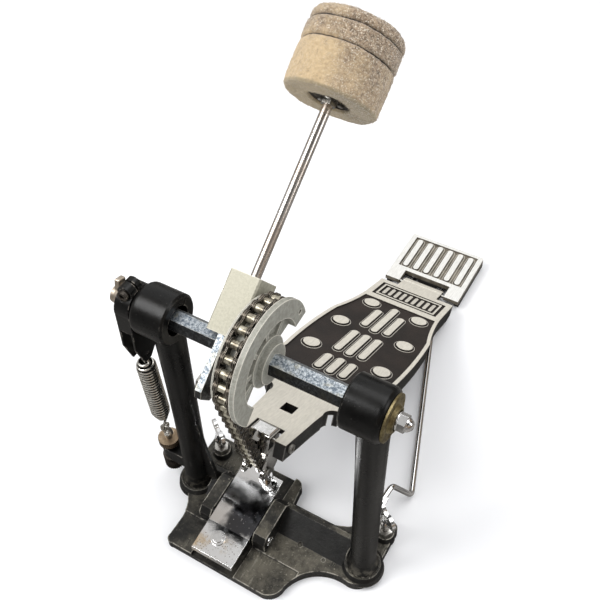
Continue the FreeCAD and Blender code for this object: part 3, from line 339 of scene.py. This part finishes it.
def shaft_steel():
    """Beater shaft: satin plating, brownish in streaks along it."""
    s = Shader("shaft_steel")
    smear = s.noise(45, 6, 0.7)
    fine = s.noise(500, 4, 0.7)
    colour = s.mix(s.step(smear, 0.35, 0.7), rgb(0.74, 0.71, 0.68), rgb(0.50, 0.43, 0.37))
    pits = s.times(s.step(fine, 0.62, 0.70), s.step(smear, 0.45, 0.6))
    colour = s.mix(s.times(pits, 0.6), colour, rgb(0.16, 0.12, 0.09))
    return s.done(colour, s.step(smear, 0.35, 0.7, 0.20, 0.32), 1.0, fine, 0.012 * MM, 0.3 * MM)


def clamp_chrome():
    """Clamp plate: clear chrome at the rear, a painted dark reflection with pale pitting specks in the
    middle, and a painted amber reflection with rust specks at the front.
    """
    s = Shader("clamp_chrome")
    low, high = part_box("clamp_plate")
    wave = s.times(s.math("SUBTRACT", s.noise(38, 4), 0.5), 40 * MM)
    along = s.plus(s.y, wave)
    across = s.plus(s.x, s.times(wave, 0.6))
    middle = (low.x + high.x) / 2
    dark_reflection = s.times(s.step(along, low.y + 22 * MM, low.y + 28 * MM), s.step(along, -2 * MM, -16 * MM))
    dark_reflection = s.times(dark_reflection, s.step(across, middle - 9 * MM, middle - 2 * MM))
    amber_reflection = s.times(s.step(along, low.y + 26 * MM, low.y + 10 * MM), s.step(s.noise(60, 5), 0.40, 0.58))
    amber_reflection = s.times(amber_reflection, s.step(across, middle + 12 * MM, middle))
    specks = s.times(s.step(s.cells(420), 0.20, 0.10), s.step(s.noise(70, 4), 0.44, 0.58))
    # painted dark reflection across the middle of the plate
    colour = s.mix(s.times(dark_reflection, 0.94), rgb(0.90, 0.905, 0.91), rgb(0.035, 0.037, 0.045))
    colour = s.mix(s.times(specks, dark_reflection), colour, rgb(0.60, 0.60, 0.60))
    # painted amber reflection at the front of the plate
    colour = s.mix(s.times(amber_reflection, 0.75), colour, rgb(0.62, 0.44, 0.22))
    rust = s.times(s.step(s.cells(520), 0.24, 0.12), s.step(along, low.y + 30 * MM, low.y + 18 * MM))
    colour = s.mix(s.times(rust, 0.7), colour, rgb(0.12, 0.07, 0.03))
    rough = s.plus(s.times(amber_reflection, 0.12), s.step(s.noise(90, 5), 0.4, 0.7, 0.05, 0.14))
    return s.done(colour, rough, 1.0, s.noise(160, 3), 0.02 * MM, 0.5 * MM)


def clip_chrome():
    """Toe clip: chrome, with the plating rusted through on its top."""
    s = Shader("clip_chrome")
    low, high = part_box("toe_clip")
    x, y = (low.x + high.x) / 2, low.y + 9 * MM
    aside, along = s.math("SUBTRACT", s.x, x), s.math("SUBTRACT", s.y, y)
    away = s.math("SQRT", s.plus(s.math("POWER", aside, 2.0), s.math("POWER", along, 2.0)))
    away = s.plus(away, s.times(s.math("SUBTRACT", s.noise(220, 4), 0.5), 7 * MM))
    rust = s.times(s.step(away, 5.5 * MM, 3.5 * MM), s.step(s.z, high.z - 12 * MM, high.z - 10 * MM))
    colour = s.mix(s.step(s.noise(90, 5), 0.35, 0.7), rgb(0.88, 0.88, 0.87), rgb(0.60, 0.59, 0.57))
    colour = s.mix(s.times(rust, 0.9), colour, rgb(0.36, 0.24, 0.13))
    specks = s.times(s.step(s.cells(560), 0.22, 0.12), s.step(s.noise(90, 4), 0.42, 0.6))
    colour = s.mix(s.times(specks, 0.6), colour, rgb(0.06, 0.045, 0.03))
    rough = s.plus(s.times(rust, 0.3), s.step(s.noise(130, 4), 0.4, 0.7, 0.07, 0.16))
    return s.done(colour, rough, 1.0, s.noise(210, 3), 0.03 * MM, 0.5 * MM)


def sand_cast(name, light, dark, scale=480, metallic=0.25, roughness=0.5):
    """Fine-grained casting, bead blasted."""
    s = Shader(name)
    grain = s.noise(scale, 5, 0.7)
    stain = s.noise(45, 6, 0.65)
    colour = s.mix(s.step(grain, 0.35, 0.65), dark, light)
    colour = s.mix(s.step(stain, 0.60, 0.78, 0.0, 0.5), colour, rgb(0.30, 0.27, 0.21))
    worn = s.times(s.edges(0.9 * MM), 0.7)
    colour = s.mix(worn, colour, rgb(0.80, 0.76, 0.66))
    rough = s.step(grain, 0.3, 0.7, roughness - 0.08, roughness + 0.12)
    return s.done(colour, rough, metallic, grain, 0.10 * MM, 0.5 * MM)


def chain_steel():
    """Dark oily side plates and pale worn rollers, told apart by their distance from the chain's centre."""
    s = Shader("chain_steel")
    off = s.math("ABSOLUTE", s.math("SUBTRACT", s.x, CHAIN_X))
    roller = s.step(off, ROLLER_HALF + 0.1 * MM, ROLLER_HALF - 0.1 * MM)
    grime = s.noise(160, 6, 0.7)
    plate = s.mix(s.step(grime, 0.40, 0.68), rgb(0.008, 0.007, 0.006), rgb(0.085, 0.068, 0.05))
    plate = s.mix(s.times(s.edges(0.5 * MM), 0.8), plate, rgb(0.36, 0.32, 0.26))
    pale = s.mix(s.step(grime, 0.36, 0.62), rgb(0.17, 0.145, 0.105), rgb(0.60, 0.565, 0.45))
    colour = s.mix(roller, plate, pale)
    rough = s.step(grime, 0.35, 0.65, 0.22, 0.42)
    return s.done(colour, rough, 0.7, s.noise(700, 4), 0.05 * MM, 0.25 * MM)


def board_place(s):
    """Height of a point over the footboard's hinge plane, and its distance from the pin to the toe."""
    y = s.math("SUBTRACT", s.y, HINGE.y)
    z = s.math("SUBTRACT", s.z, HINGE.z)
    height = s.plus(s.times(y, math.sin(BOARD_PITCH)), s.times(z, math.cos(BOARD_PITCH)))
    along = s.math("SUBTRACT", s.times(z, math.sin(BOARD_PITCH)), s.times(y, math.cos(BOARD_PITCH)))
    return height, along


def ground_metal(s, light, dark):
    """Colour of a face ground by hand: fine streaks and small stains."""
    streak = s.noise(150, 5, 0.6, (5.0, 1.0, 1.0))
    stain = s.noise(70, 6, 0.7)
    colour = s.mix(s.step(streak, 0.2, 0.8), dark, light)
    return s.mix(s.step(stain, 0.64, 0.82, 0.0, 0.4), colour, rgb(0.22, 0.19, 0.15)), streak


def board_metal():
    """Footboard: ground faces on top, brown-black recess, black sides, painted shade in its corners."""
    s = Shader("board_metal")
    high, along = board_place(s)
    top = s.step(high, BOARD_TOP - 0.45 * MM, BOARD_TOP - 0.25 * MM)
    side = s.step(high, 0.9 * MM, 0.6 * MM)
    ground, streak = ground_metal(s, rgb(0.74, 0.70, 0.605), rgb(0.60, 0.565, 0.485))
    cloud = s.noise(42, 6, 0.6)
    grain = s.noise(800, 4, 0.7)
    field = s.mix(s.step(cloud, 0.3, 0.7), rgb(0.008, 0.005, 0.0035), rgb(0.021, 0.0135, 0.010))
    field = s.mix(s.step(grain, 0.62, 0.74, 0.0, 0.5), field, rgb(0.09, 0.07, 0.055))
    colour = s.mix(top, field, ground)
    paint = s.mix(s.step(cloud, 0.35, 0.7), rgb(0.004, 0.004, 0.004), rgb(0.016, 0.015, 0.014))
    paint = s.mix(s.times(s.edges(0.8 * MM), 0.6), paint, rgb(0.30, 0.28, 0.25))
    colour = s.mix(side, colour, paint)
    # painted shade in the corners and beside the walls of the footboard, up to 288 mm from the hinge
    hollow = s.times(s.corners(2.5 * MM, 0.9, 0.5), s.step(along, 290 * MM, 288 * MM))
    colour = s.mix(s.times(hollow, 0.6), colour, rgb(0.012, 0.010, 0.009))
    metallic = s.times(top, 0.2)
    rough = s.plus(s.times(top, -0.05), s.step(grain, 0.3, 0.7, 0.36, 0.50))
    height = s.plus(grain, s.times(streak, 0.3))
    return s.done(colour, rough, metallic, height, 0.05 * MM, 0.3 * MM, Specular_IOR_Level=0.4)


def heel_metal():
    """Heel plate: bright ground bars and rim, grey-brown recess, dark sides."""
    s = Shader("heel_metal")
    up = s.facing_up(0.5, 0.8)
    top = s.times(up, s.step(s.z, HEEL_TOP - 0.6 * MM, HEEL_TOP - 0.4 * MM))
    side = s.step(s.z, 8 * MM, 6.5 * MM)
    ground, streak = ground_metal(s, rgb(0.80, 0.79, 0.75), rgb(0.62, 0.61, 0.57))
    grain = s.noise(700, 4, 0.7)
    field = s.mix(s.step(s.noise(80, 6), 0.35, 0.7), rgb(0.085, 0.072, 0.052), rgb(0.20, 0.175, 0.135))
    colour = s.mix(top, field, ground)
    colour = s.mix(side, colour, rgb(0.012, 0.011, 0.011))
    rough = s.step(grain, 0.3, 0.7, 0.34, 0.50)
    return s.done(colour, rough, s.times(top, 0.2), s.plus(grain, s.times(streak, 0.3)), 0.05 * MM, 0.3 * MM)


def rubber():
    """Matt black rubber."""
    s = Shader("rubber")
    grain = s.noise(600, 4)
    colour = s.mix(s.step(grain, 0.3, 0.7), rgb(0.012, 0.012, 0.012), rgb(0.034, 0.033, 0.031))
    return s.done(colour, s.step(grain, 0.3, 0.7, 0.6, 0.8), 0.0, grain, 0.06 * MM, 0.3 * MM)


def along_beater(node):
    """Where a node begins and ends along the beater's shaft."""
    reach = [v.co.dot(BEATER_AXIS) for v in NODES[node].data.vertices]
    return min(reach), max(reach)


def felt_wool():
    """Pressed felt: tan, with matted fibres, grey-brown dirt in patches and on its top, painted shade greying
    its right side, and painted shade in the splits between layers.
    """
    s = Shader("felt_wool")
    mat = s.noise(420, 7, 0.8, distortion=0.4)
    cloud = s.noise(60, 6, 0.65)
    grain = s.noise(950, 5, 0.8)
    along = s.node("ShaderNodeVectorMath", Vector=s.place)
    along.operation = "DOT_PRODUCT"
    along.inputs[1].default_value = BEATER_AXIS
    bottom, top = along_beater("felt_lower")[0], along_beater("felt_cap")[1]
    crown = s.step(along.outputs["Value"], top - 30 * MM, top - 16 * MM, 0.0, 0.75)
    # painted shade: the grey-brown grows towards +x, the side away from the key light; the noise patches and
    # the crown are real dirt
    dirt_and_side_shade = s.plus(s.step(s.x, -34 * MM, 0.0, 0.0, 0.85), s.step(cloud, 0.3, 0.75, -0.4, 0.4))
    dirt_and_side_shade = s.plus(dirt_and_side_shade, crown, True)
    colour = s.mix(s.step(mat, 0.25, 0.75), rgb(0.42, 0.30, 0.165), rgb(0.63, 0.48, 0.285))
    grey = s.mix(s.step(mat, 0.36, 0.64), rgb(0.125, 0.085, 0.053), rgb(0.40, 0.295, 0.195))
    colour = s.mix(dirt_and_side_shade, colour, grey)
    below = s.step(along.outputs["Value"], bottom + 2.5 * MM, bottom + 1 * MM)
    colour = s.mix(s.times(below, 0.6), colour, rgb(0.29, 0.245, 0.15))
    fleck = s.times(s.step(grain, 0.54, 0.60), s.plus(s.times(dirt_and_side_shade, 0.8), 0.12))
    colour = s.mix(fleck, colour, rgb(0.82, 0.75, 0.62))
    # painted shade in the splits between the layers and other creases
    colour = s.mix(s.corners(1.5 * MM, 0.85, 0.35), colour, rgb(0.05, 0.035, 0.022))
    height = s.plus(mat, s.times(grain, 0.6))
    return s.done(colour, 0.95, 0.0, height, 0.6 * MM, Sheen_Weight=0.25, Sheen_Roughness=0.5)


def fibre():
    """Loose wool fibres, from brown to cream."""
    s = Shader("felt_fibre")
    tone = s.noise(240, 3)
    colour = s.mix(s.step(tone, 0.35, 0.65), rgb(0.36, 0.27, 0.17), rgb(0.80, 0.70, 0.52))
    return s.done(colour, 0.9, 0.0, Sheen_Weight=0.3)


def white_floor():
    """Near white to the eye; darker in reflections, as if the paper ended near the pedal."""
    s = Shader("white_floor")
    cloud = s.noise(3, 3)
    colour = s.mix(cloud, rgb(0.90, 0.90, 0.90), rgb(0.93, 0.93, 0.93))
    patches = s.mix(s.step(s.noise(9, 3), 0.35, 0.65), rgb(0.03, 0.028, 0.025), rgb(0.42, 0.40, 0.37))
    glossy = s.tree.nodes.new("ShaderNodeLightPath").outputs["Is Glossy Ray"]
    return s.done(s.mix(glossy, colour, patches), 0.75, 0.0)


# ------------------------------------------------------------------ helpers for new pieces
def add(name, mesh, material, smooth=True):
    """A new object of one material."""
    piece = bpy.data.objects.new(name, mesh)
    bpy.context.scene.collection.objects.link(piece)
    mesh.materials.clear()
    mesh.materials.append(material)
    if smooth:
        mesh.polygons.foreach_set("use_smooth", [True] * len(mesh.polygons))
    return piece


def baked(obj):
    """The object's shape with its modifiers or bevel, as a new mesh."""
    graph = bpy.context.evaluated_depsgraph_get()
    return bpy.data.meshes.new_from_object(obj.evaluated_get(graph))


def wires(lines, radius, resolution=3, order=0):
    """One mesh of round wires, each along its own line of points."""
    curve = bpy.data.curves.new("wire_path", "CURVE")
    curve.dimensions = "3D"
    curve.bevel_depth = radius
    curve.bevel_resolution = resolution
    curve.use_fill_caps = True
    for points in lines:
        spline = curve.splines.new("NURBS" if order else "POLY")
        spline.points.add(len(points) - 1)
        for at, p in zip(spline.points, points):
            at.co = (*p, 1.0)
        if order:
            spline.order_u = order
            spline.use_endpoint_u = True
            spline.resolution_u = 3
    obj = bpy.data.objects.new("wire_path", curve)
    bpy.context.scene.collection.objects.link(obj)
    bpy.context.view_layer.update()
    mesh = baked(obj)
    bpy.data.objects.remove(obj)
    return mesh


def remeshed(node, voxel):
    """A finely and evenly divided copy of a CAD node's shape."""
    copy = bpy.data.objects.new("remesh", NODES[node].data.copy())
    bpy.context.scene.collection.objects.link(copy)
    remesh = copy.modifiers.new("Remesh", "REMESH")
    remesh.mode = "VOXEL"
    remesh.voxel_size = voxel
    relax = copy.modifiers.new("Smooth", "SMOOTH")
    relax.factor = 0.5
    relax.iterations = 2
    bpy.context.view_layer.update()
    mesh = baked(copy)
    bpy.data.objects.remove(copy)
    return mesh


# ------------------------------------------------------------------ felt beater
def felt_layer(node, seed, wool):
    """One felt layer: matted surface, slightly uneven outline."""
    mesh = remeshed(node, 0.7 * MM)
    shift = Vector((seed, 2 * seed, 3 * seed))
    normals = [v.normal.copy() for v in mesh.vertices]
    for vertex, normal in zip(mesh.vertices, normals):
        p = vertex.co
        swell = noise.fractal(p * 55 + shift, 1.0, 2.0, 3) * 0.7 * MM
        fluff = noise.fractal(p * 480 + shift, 0.9, 2.0, 3) * 0.28 * MM
        vertex.co = p + normal * (swell + fluff - 0.1 * MM)
    piece = add(node + "_wool", mesh, wool)
    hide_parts(node)
    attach(piece, "beater")
    return piece


def felt_fibres(layers, count):
    """Loose fibres that stand off the felt."""
    rng = random.Random(7)
    lines = []
    for layer in layers:
        mesh = layer.data
        faces = rng.choices(range(len(mesh.polygons)), k=count)
        for index in faces:
            face = mesh.polygons[index]
            side = Vector((rng.gauss(0, 1), rng.gauss(0, 1), rng.gauss(0, 1))).normalized()
            lean = (side - face.normal * side.dot(face.normal)).normalized()
            length = rng.uniform(0.9, 2.6) * MM
            start = face.center - face.normal * 0.2 * MM
            middle = start + lean * length * 0.5 + face.normal * rng.uniform(0.3, 0.75) * MM
            end = middle + (lean + side * 0.5) * length * 0.5 + face.normal * rng.uniform(-0.2, 0.5) * MM
            lines.append((start, middle, end))
    piece = add("felt_fibres", wires(lines, 0.05 * MM, 0), fibre())
    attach(piece, "beater")
    return piece


# ------------------------------------------------------------------ return spring
def coil_radius(u):
    """Barrel shape of the coil; u runs from 0 at its lower end to 1 at its upper end."""
    return COIL_R * min(1.0, 0.42 + 4.0 * u, 0.62 + 5.5 * (1 - u))


def spring_points():
    """Centre line of the spring wire from its lower to its upper hook, and the two ends of the coil."""
    foot = Vector(JOINTS["spring_tilt"]["pos_m"])
    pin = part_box("lever_pin")
    tip = (pin[0] + pin[1]) / 2
    tip.x = foot.x
    line = (tip - foot).normalized()
    length = (tip - foot).length
    across = Vector((1, 0, 0))
    aside = line.cross(across)

    def at(u, v, w):
        """Point w along the spring's line and u, v beside it."""
        return foot + across * u + aside * v + line * w

    points = []
    for a in range(-60, 181, 20):
        points.append(at(0, HOOK_R * math.cos(math.radians(a)), -HOOK_R * math.sin(math.radians(a))))
    points += [at(0.4 * MM, -2.6 * MM, 4 * MM), at(1.2 * MM, -1.2 * MM, 8 * MM)]
    low, high = 14.0 * MM, length - 13.0 * MM
    steps = COIL_TURNS * 20
    for k in range(steps + 1):
        u = k / steps
        a = 2 * math.pi * COIL_TURNS * u
        r = coil_radius(u)
        points.append(at(r * math.cos(a), r * math.sin(a), low + (high - low) * u))
    points += [at(1.2 * MM, 1.2 * MM, length - 8 * MM), at(0.4 * MM, 2.6 * MM, length - 4 * MM)]
    for a in range(180, -61, -20):
        points.append(at(0, -HOOK_R * math.cos(math.radians(a)), length + HOOK_R * math.sin(math.radians(a))))
    return points, at(0, 0, low), at(0, 0, high)


def return_spring(material):
    """Wire spring between its two hooks, one mesh in the world frame in place of the CAD spring and its
    hooks.
    """
    points, low, high = spring_points()
    mesh = wires([points], COIL_WIRE, 3)
    line = (high - low).normalized()
    crest = mesh.attributes.new("crest", "FLOAT", "POINT")
    for vertex, mark in zip(mesh.vertices, crest.data):
        along = (vertex.co - low).dot(line)
        out = (vertex.co - low - line * along).length
        u = along / (high - low).length
        mark.value = (out - coil_radius(u)) / COIL_WIRE if 0 < u < 1 else 1.0
    piece = add("spring_wire_piece", mesh, material)
    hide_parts("return_spring", "spring_lower_hook", "spring_upper_hook")
    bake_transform(piece)
    return piece


# ------------------------------------------------------------------ outlines round the tread bars and dots
def capsule(x, y0, y1, r, steps=10):
    """Closed outline of a bar with round ends, in the plane of the board."""
    loop = []
    for k in range(steps + 1):
        a = math.pi * k / steps
        loop.append((x + r * math.cos(a), y1 + r * math.sin(a)))
    for k in range(steps + 1):
        a = math.pi + math.pi * k / steps
        loop.append((x + r * math.cos(a), y0 + r * math.sin(a)))
    return loop + loop[:1]


def board_point(x, s, h):
    """A point of the footboard: s from the hinge towards the toe, h above it."""
    c, n = math.cos(BOARD_PITCH), math.sin(BOARD_PITCH)
    return Vector((x, HINGE.y - s * c + h * n, HINGE.z + s * n + h * c))


def board_outlines(material):
    """Thin raised line round each bar and dot of the tread."""
    loops = []
    for s, half in DOTS:
        for x in (-half, half):
            loops.append(capsule(x, s, s, DOT_R, 16))
    for x, spans in BARS:
        for s0, s1 in spans:
            loops.append(capsule(x, s0 + 3, s1 - 3, BAR_R))
    lines = [[board_point(x * MM, s * MM, BOARD_FLOOR) for x, s in loop] for loop in loops]
    piece = add("board_outlines", wires(lines, OUTLINE_WIRE, 2), material)
    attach(piece, "footboard")
    return piece


def heel_outlines(material):
    """Thin raised line round each bar of the heel plate."""
    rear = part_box("heel_plate")[1].y
    start, end = (rear - reach for reach in HEEL_BAR_ENDS)
    lines = []
    for x in HEEL_BARS:
        loop = capsule(x * MM, start, end, HEEL_BAR_R)
        lines.append([Vector((u, v, HEEL_FLOOR)) for u, v in loop])
    piece = add("heel_outlines", wires(lines, OUTLINE_WIRE, 2), material)
    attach(piece, "base")
    return piece


# ------------------------------------------------------------------ camera, floor and light
def camera():
    """Camera fitted to the pedal's outline."""
    data = bpy.data.cameras.new("camera")
    data.sensor_width = 36
    data.lens = CAMERA_LENS
    data.clip_start = 0.02
    data.clip_end = 20
    azimuth, elevation, roll = (math.radians(a) for a in CAMERA_ANGLES)
    right = Vector((math.cos(azimuth), math.sin(azimuth), 0))
    back = Vector((math.sin(azimuth) * math.cos(elevation), -math.cos(azimuth) * math.cos(elevation),
                   math.sin(elevation)))
    up = back.cross(right)
    turned = right * math.cos(roll) + up * math.sin(roll)
    upward = up * math.cos(roll) - right * math.sin(roll)
    cam = bpy.data.objects.new("camera", data)
    bpy.context.scene.collection.objects.link(cam)
    cam.matrix_world = Matrix.Translation(CAMERA_PLACE) @ Matrix(
        (turned, upward, back)).transposed().to_4x4()
    bpy.context.scene.camera = cam


def area_light(name, place, target, size, power):
    """White rectangular lamp at place, turned to the target."""
    data = bpy.data.lights.new(name, "AREA")
    data.shape = "RECTANGLE"
    data.size, data.size_y = size
    data.energy = power
    lamp = bpy.data.objects.new(name, data)
    bpy.context.scene.collection.objects.link(lamp)
    lamp.location = place
    lamp.rotation_euler = (Vector(target) - Vector(place)).to_track_quat("-Z", "Y").to_euler()


def studio():
    """White floor, a bright sky for diffuse light, and a patchy room with a white panel in reflections."""
    size = 4.0
    corners = [(-size, -size, 0), (size, -size, 0), (size, size, 0), (-size, size, 0)]
    mesh = bpy.data.meshes.new("studio_floor")
    mesh.from_pydata(corners, [], [(0, 1, 2, 3)])
    floor = add("studio_floor", mesh, white_floor(), smooth=False)
    floor.location.z = -0.05 * MM

    world = bpy.data.worlds.new("studio_world")
    bpy.context.scene.world = world
    world.use_nodes = True
    tree = world.node_tree
    tree.nodes.clear()
    direction = tree.nodes.new("ShaderNodeTexCoord").outputs["Generated"]

    def bands(scale, stops):
        """Soft patches over all directions, coloured by the stops of a ramp."""
        cloud = tree.nodes.new("ShaderNodeTexNoise")
        cloud.inputs["Scale"].default_value = scale
        cloud.inputs["Detail"].default_value = 1.5
        tree.links.new(direction, cloud.inputs["Vector"])
        ramp = tree.nodes.new("ShaderNodeValToRGB")
        tree.links.new(cloud.outputs[0], ramp.inputs[0])
        ramp.color_ramp.elements[0].position = stops[0][0]
        ramp.color_ramp.elements[0].color = stops[0][1]
        ramp.color_ramp.elements[1].position = stops[-1][0]
        ramp.color_ramp.elements[1].color = stops[-1][1]
        for position, colour in stops[1:-1]:
            ramp.color_ramp.elements.new(position).color = colour
        return ramp.outputs[0]

    def blend_colours(factor, a, b):
        """a where the factor is 0 and b where it is 1."""
        made = tree.nodes.new("ShaderNodeMix")
        made.data_type = "RGBA"
        for socket, value in zip((made.inputs[0], made.inputs[6], made.inputs[7]), (factor, a, b)):
            if isinstance(value, bpy.types.NodeSocket):
                tree.links.new(value, socket)
            else:
                socket.default_value = value
        return made.outputs[2]

    room = bands(2.3, ((0.40, rgb(0.015, 0.014, 0.013)), (0.50, rgb(0.16, 0.14, 0.12)),
                       (0.56, rgb(0.85, 0.84, 0.82)), (0.70, rgb(1.0, 1.0, 1.0))))
    amber = bands(1.7, ((0.52, rgb(0, 0, 0)), (0.60, rgb(0.75, 0.75, 0.75))))
    room = blend_colours(amber, room, rgb(0.42, 0.27, 0.14))
    towards = tree.nodes.new("ShaderNodeVectorMath")
    towards.operation = "DOT_PRODUCT"
    tree.links.new(direction, towards.inputs[0])
    towards.inputs[1].default_value = SOFTBOX
    softbox = tree.nodes.new("ShaderNodeMapRange")
    softbox.interpolation_type = "SMOOTHSTEP"
    tree.links.new(towards.outputs["Value"], softbox.inputs["Value"])
    softbox.inputs["From Min"].default_value = 0.77
    softbox.inputs["From Max"].default_value = 0.89
    room = blend_colours(softbox.outputs[0], room, rgb(1.5, 1.5, 1.5))
    path = tree.nodes.new("ShaderNodeLightPath")
    background = tree.nodes.new("ShaderNodeBackground")
    background.inputs["Strength"].default_value = 0.62
    sky = blend_colours(path.outputs["Is Glossy Ray"], rgb(0.95, 0.96, 1.0), room)
    tree.links.new(sky, background.inputs["Color"])
    out = tree.nodes.new("ShaderNodeOutputWorld")
    tree.links.new(background.outputs[0], out.inputs[0])

    middle = (0.0, 0.1, 0.1)
    area_light("key", (-0.9, -0.7, 1.5), middle, (0.9, 0.9), 22)
    area_light("top", (0.2, 0.5, 1.8), middle, (1.4, 1.0), 12)
    area_light("rim", (1.3, 0.3, 0.9), middle, (0.5, 1.0), 5)
    bpy.context.scene.view_settings.view_transform = "Standard"


def threaded(node, below_top):
    """Chrome for a screw along Z: plain head, threaded from below_top under its top down."""
    low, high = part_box(node)
    middle = (low + high) / 2
    return chrome(node + "_chrome", 0.3, (middle.x, middle.y, 1.25 * MM, high.z - below_top))


def dress(materials):
    """Each CAD node that stays takes its finish."""
    for material, names in materials:
        for name in names.split():
            slots = NODES[name].data.materials
            slots.clear()
            slots.append(material)


camera()
studio()

steel = plated(
    "steel", rgb(0.62, 0.61, 0.58), rgb(0.30, 0.29, 0.27), rgb(0.08, 0.06, 0.05), 0.25, 90)
zinc = mottled_zinc()
worn_line = sand_cast(
    "worn_line", rgb(0.20, 0.175, 0.14), rgb(0.09, 0.075, 0.06), 600, 0.1, 0.45)
washer_grey = plated(
    "washer_grey", rgb(0.13, 0.12, 0.11), rgb(0.05, 0.047, 0.042), rgb(0.02, 0.02, 0.02), 0.38, 90)
yellow = plated(
    "yellow_zinc", rgb(0.40, 0.335, 0.18), rgb(0.14, 0.11, 0.055), rgb(0.03, 0.02, 0.01), 0.36, 130)
brass = plated(
    "dull_brass", rgb(0.46, 0.36, 0.25), rgb(0.24, 0.18, 0.12), rgb(0.05, 0.04, 0.03), 0.33, 110)
dark_nut = plated(
    "dark_nut", rgb(0.16, 0.14, 0.12), rgb(0.05, 0.045, 0.04), rgb(0.02, 0.02, 0.02), 0.35, 110)
bright = chrome("bright_chrome")
pitted = chrome("pitted_chrome", 0.8)
tab_zinc = plated(
    "tab_zinc", rgb(0.70, 0.62, 0.52), rgb(0.44, 0.38, 0.31), rgb(0.10, 0.08, 0.06), 0.3, 120)
block_cast = sand_cast("block_cast", rgb(0.50, 0.48, 0.385), rgb(0.35, 0.335, 0.26))
cam_cast = sand_cast("cam_cast", rgb(0.36, 0.355, 0.305), rgb(0.235, 0.23, 0.195), 380, 0.1, 0.45)

dress((
    (black_paint(), "left_pillar right_pillar spring_lever"),
    (base_paint(), "base_casting"),
    (zinc, "hex_axle balance_arm"),
    (block_cast, "beater_block"),
    (cam_cast, "chain_cam"),
    (chain_steel(), "chain_cam_run chain_link_1 chain_link_2 chain_link_3 chain_link_4 chain_drop_run"),
    (board_metal(), "footboard"),
    (heel_metal(), "heel_plate"),
    (rubber(), "heel_pads clamp_jaw"),
    (clamp_chrome(), "clamp_plate"),
    (pitted, "clamp_rivet stabiliser_wire"),
    (clip_chrome(), "toe_clip"),
    (shaft_steel(), "beater_shaft"),
    (bright, "axle_dome_nut clamp_pivot_pin clamp_screw"),
    (threaded("left_spur", 15 * MM), "left_spur"),
    (threaded("right_spur", 15 * MM), "right_spur"),
    (yellow, "right_bearing_cap"),
    (brass, "tension_nut"),
    (tab_zinc, "lever_wing_nut"),
    (dark_nut, "lock_nut lever_clamp_screw"),
    (washer_grey, "beater_washer"),
    (steel, "pillar_bolts bearing_outer_rings bearing_inner_rings bearing_balls left_bearing_cap "
            "cam_set_screw block_screw arm_bolt beater_set_screw lever_pin "
            "lever_washer hinge_pin wire_saddle spur_nuts spring_eye_bolt beater_screws beater_nuts "
            "toe_clip_screw toe_pin"),
))

wool = felt_wool()
felts = ("felt_lower", "felt_middle", "felt_cap")
layers = [felt_layer(node, seed, wool) for seed, node in enumerate(felts)]
felt_fibres(layers, FIBRES_PER_LAYER)
return_spring(spring_steel())
board_outlines(worn_line)
heel_outlines(worn_line)
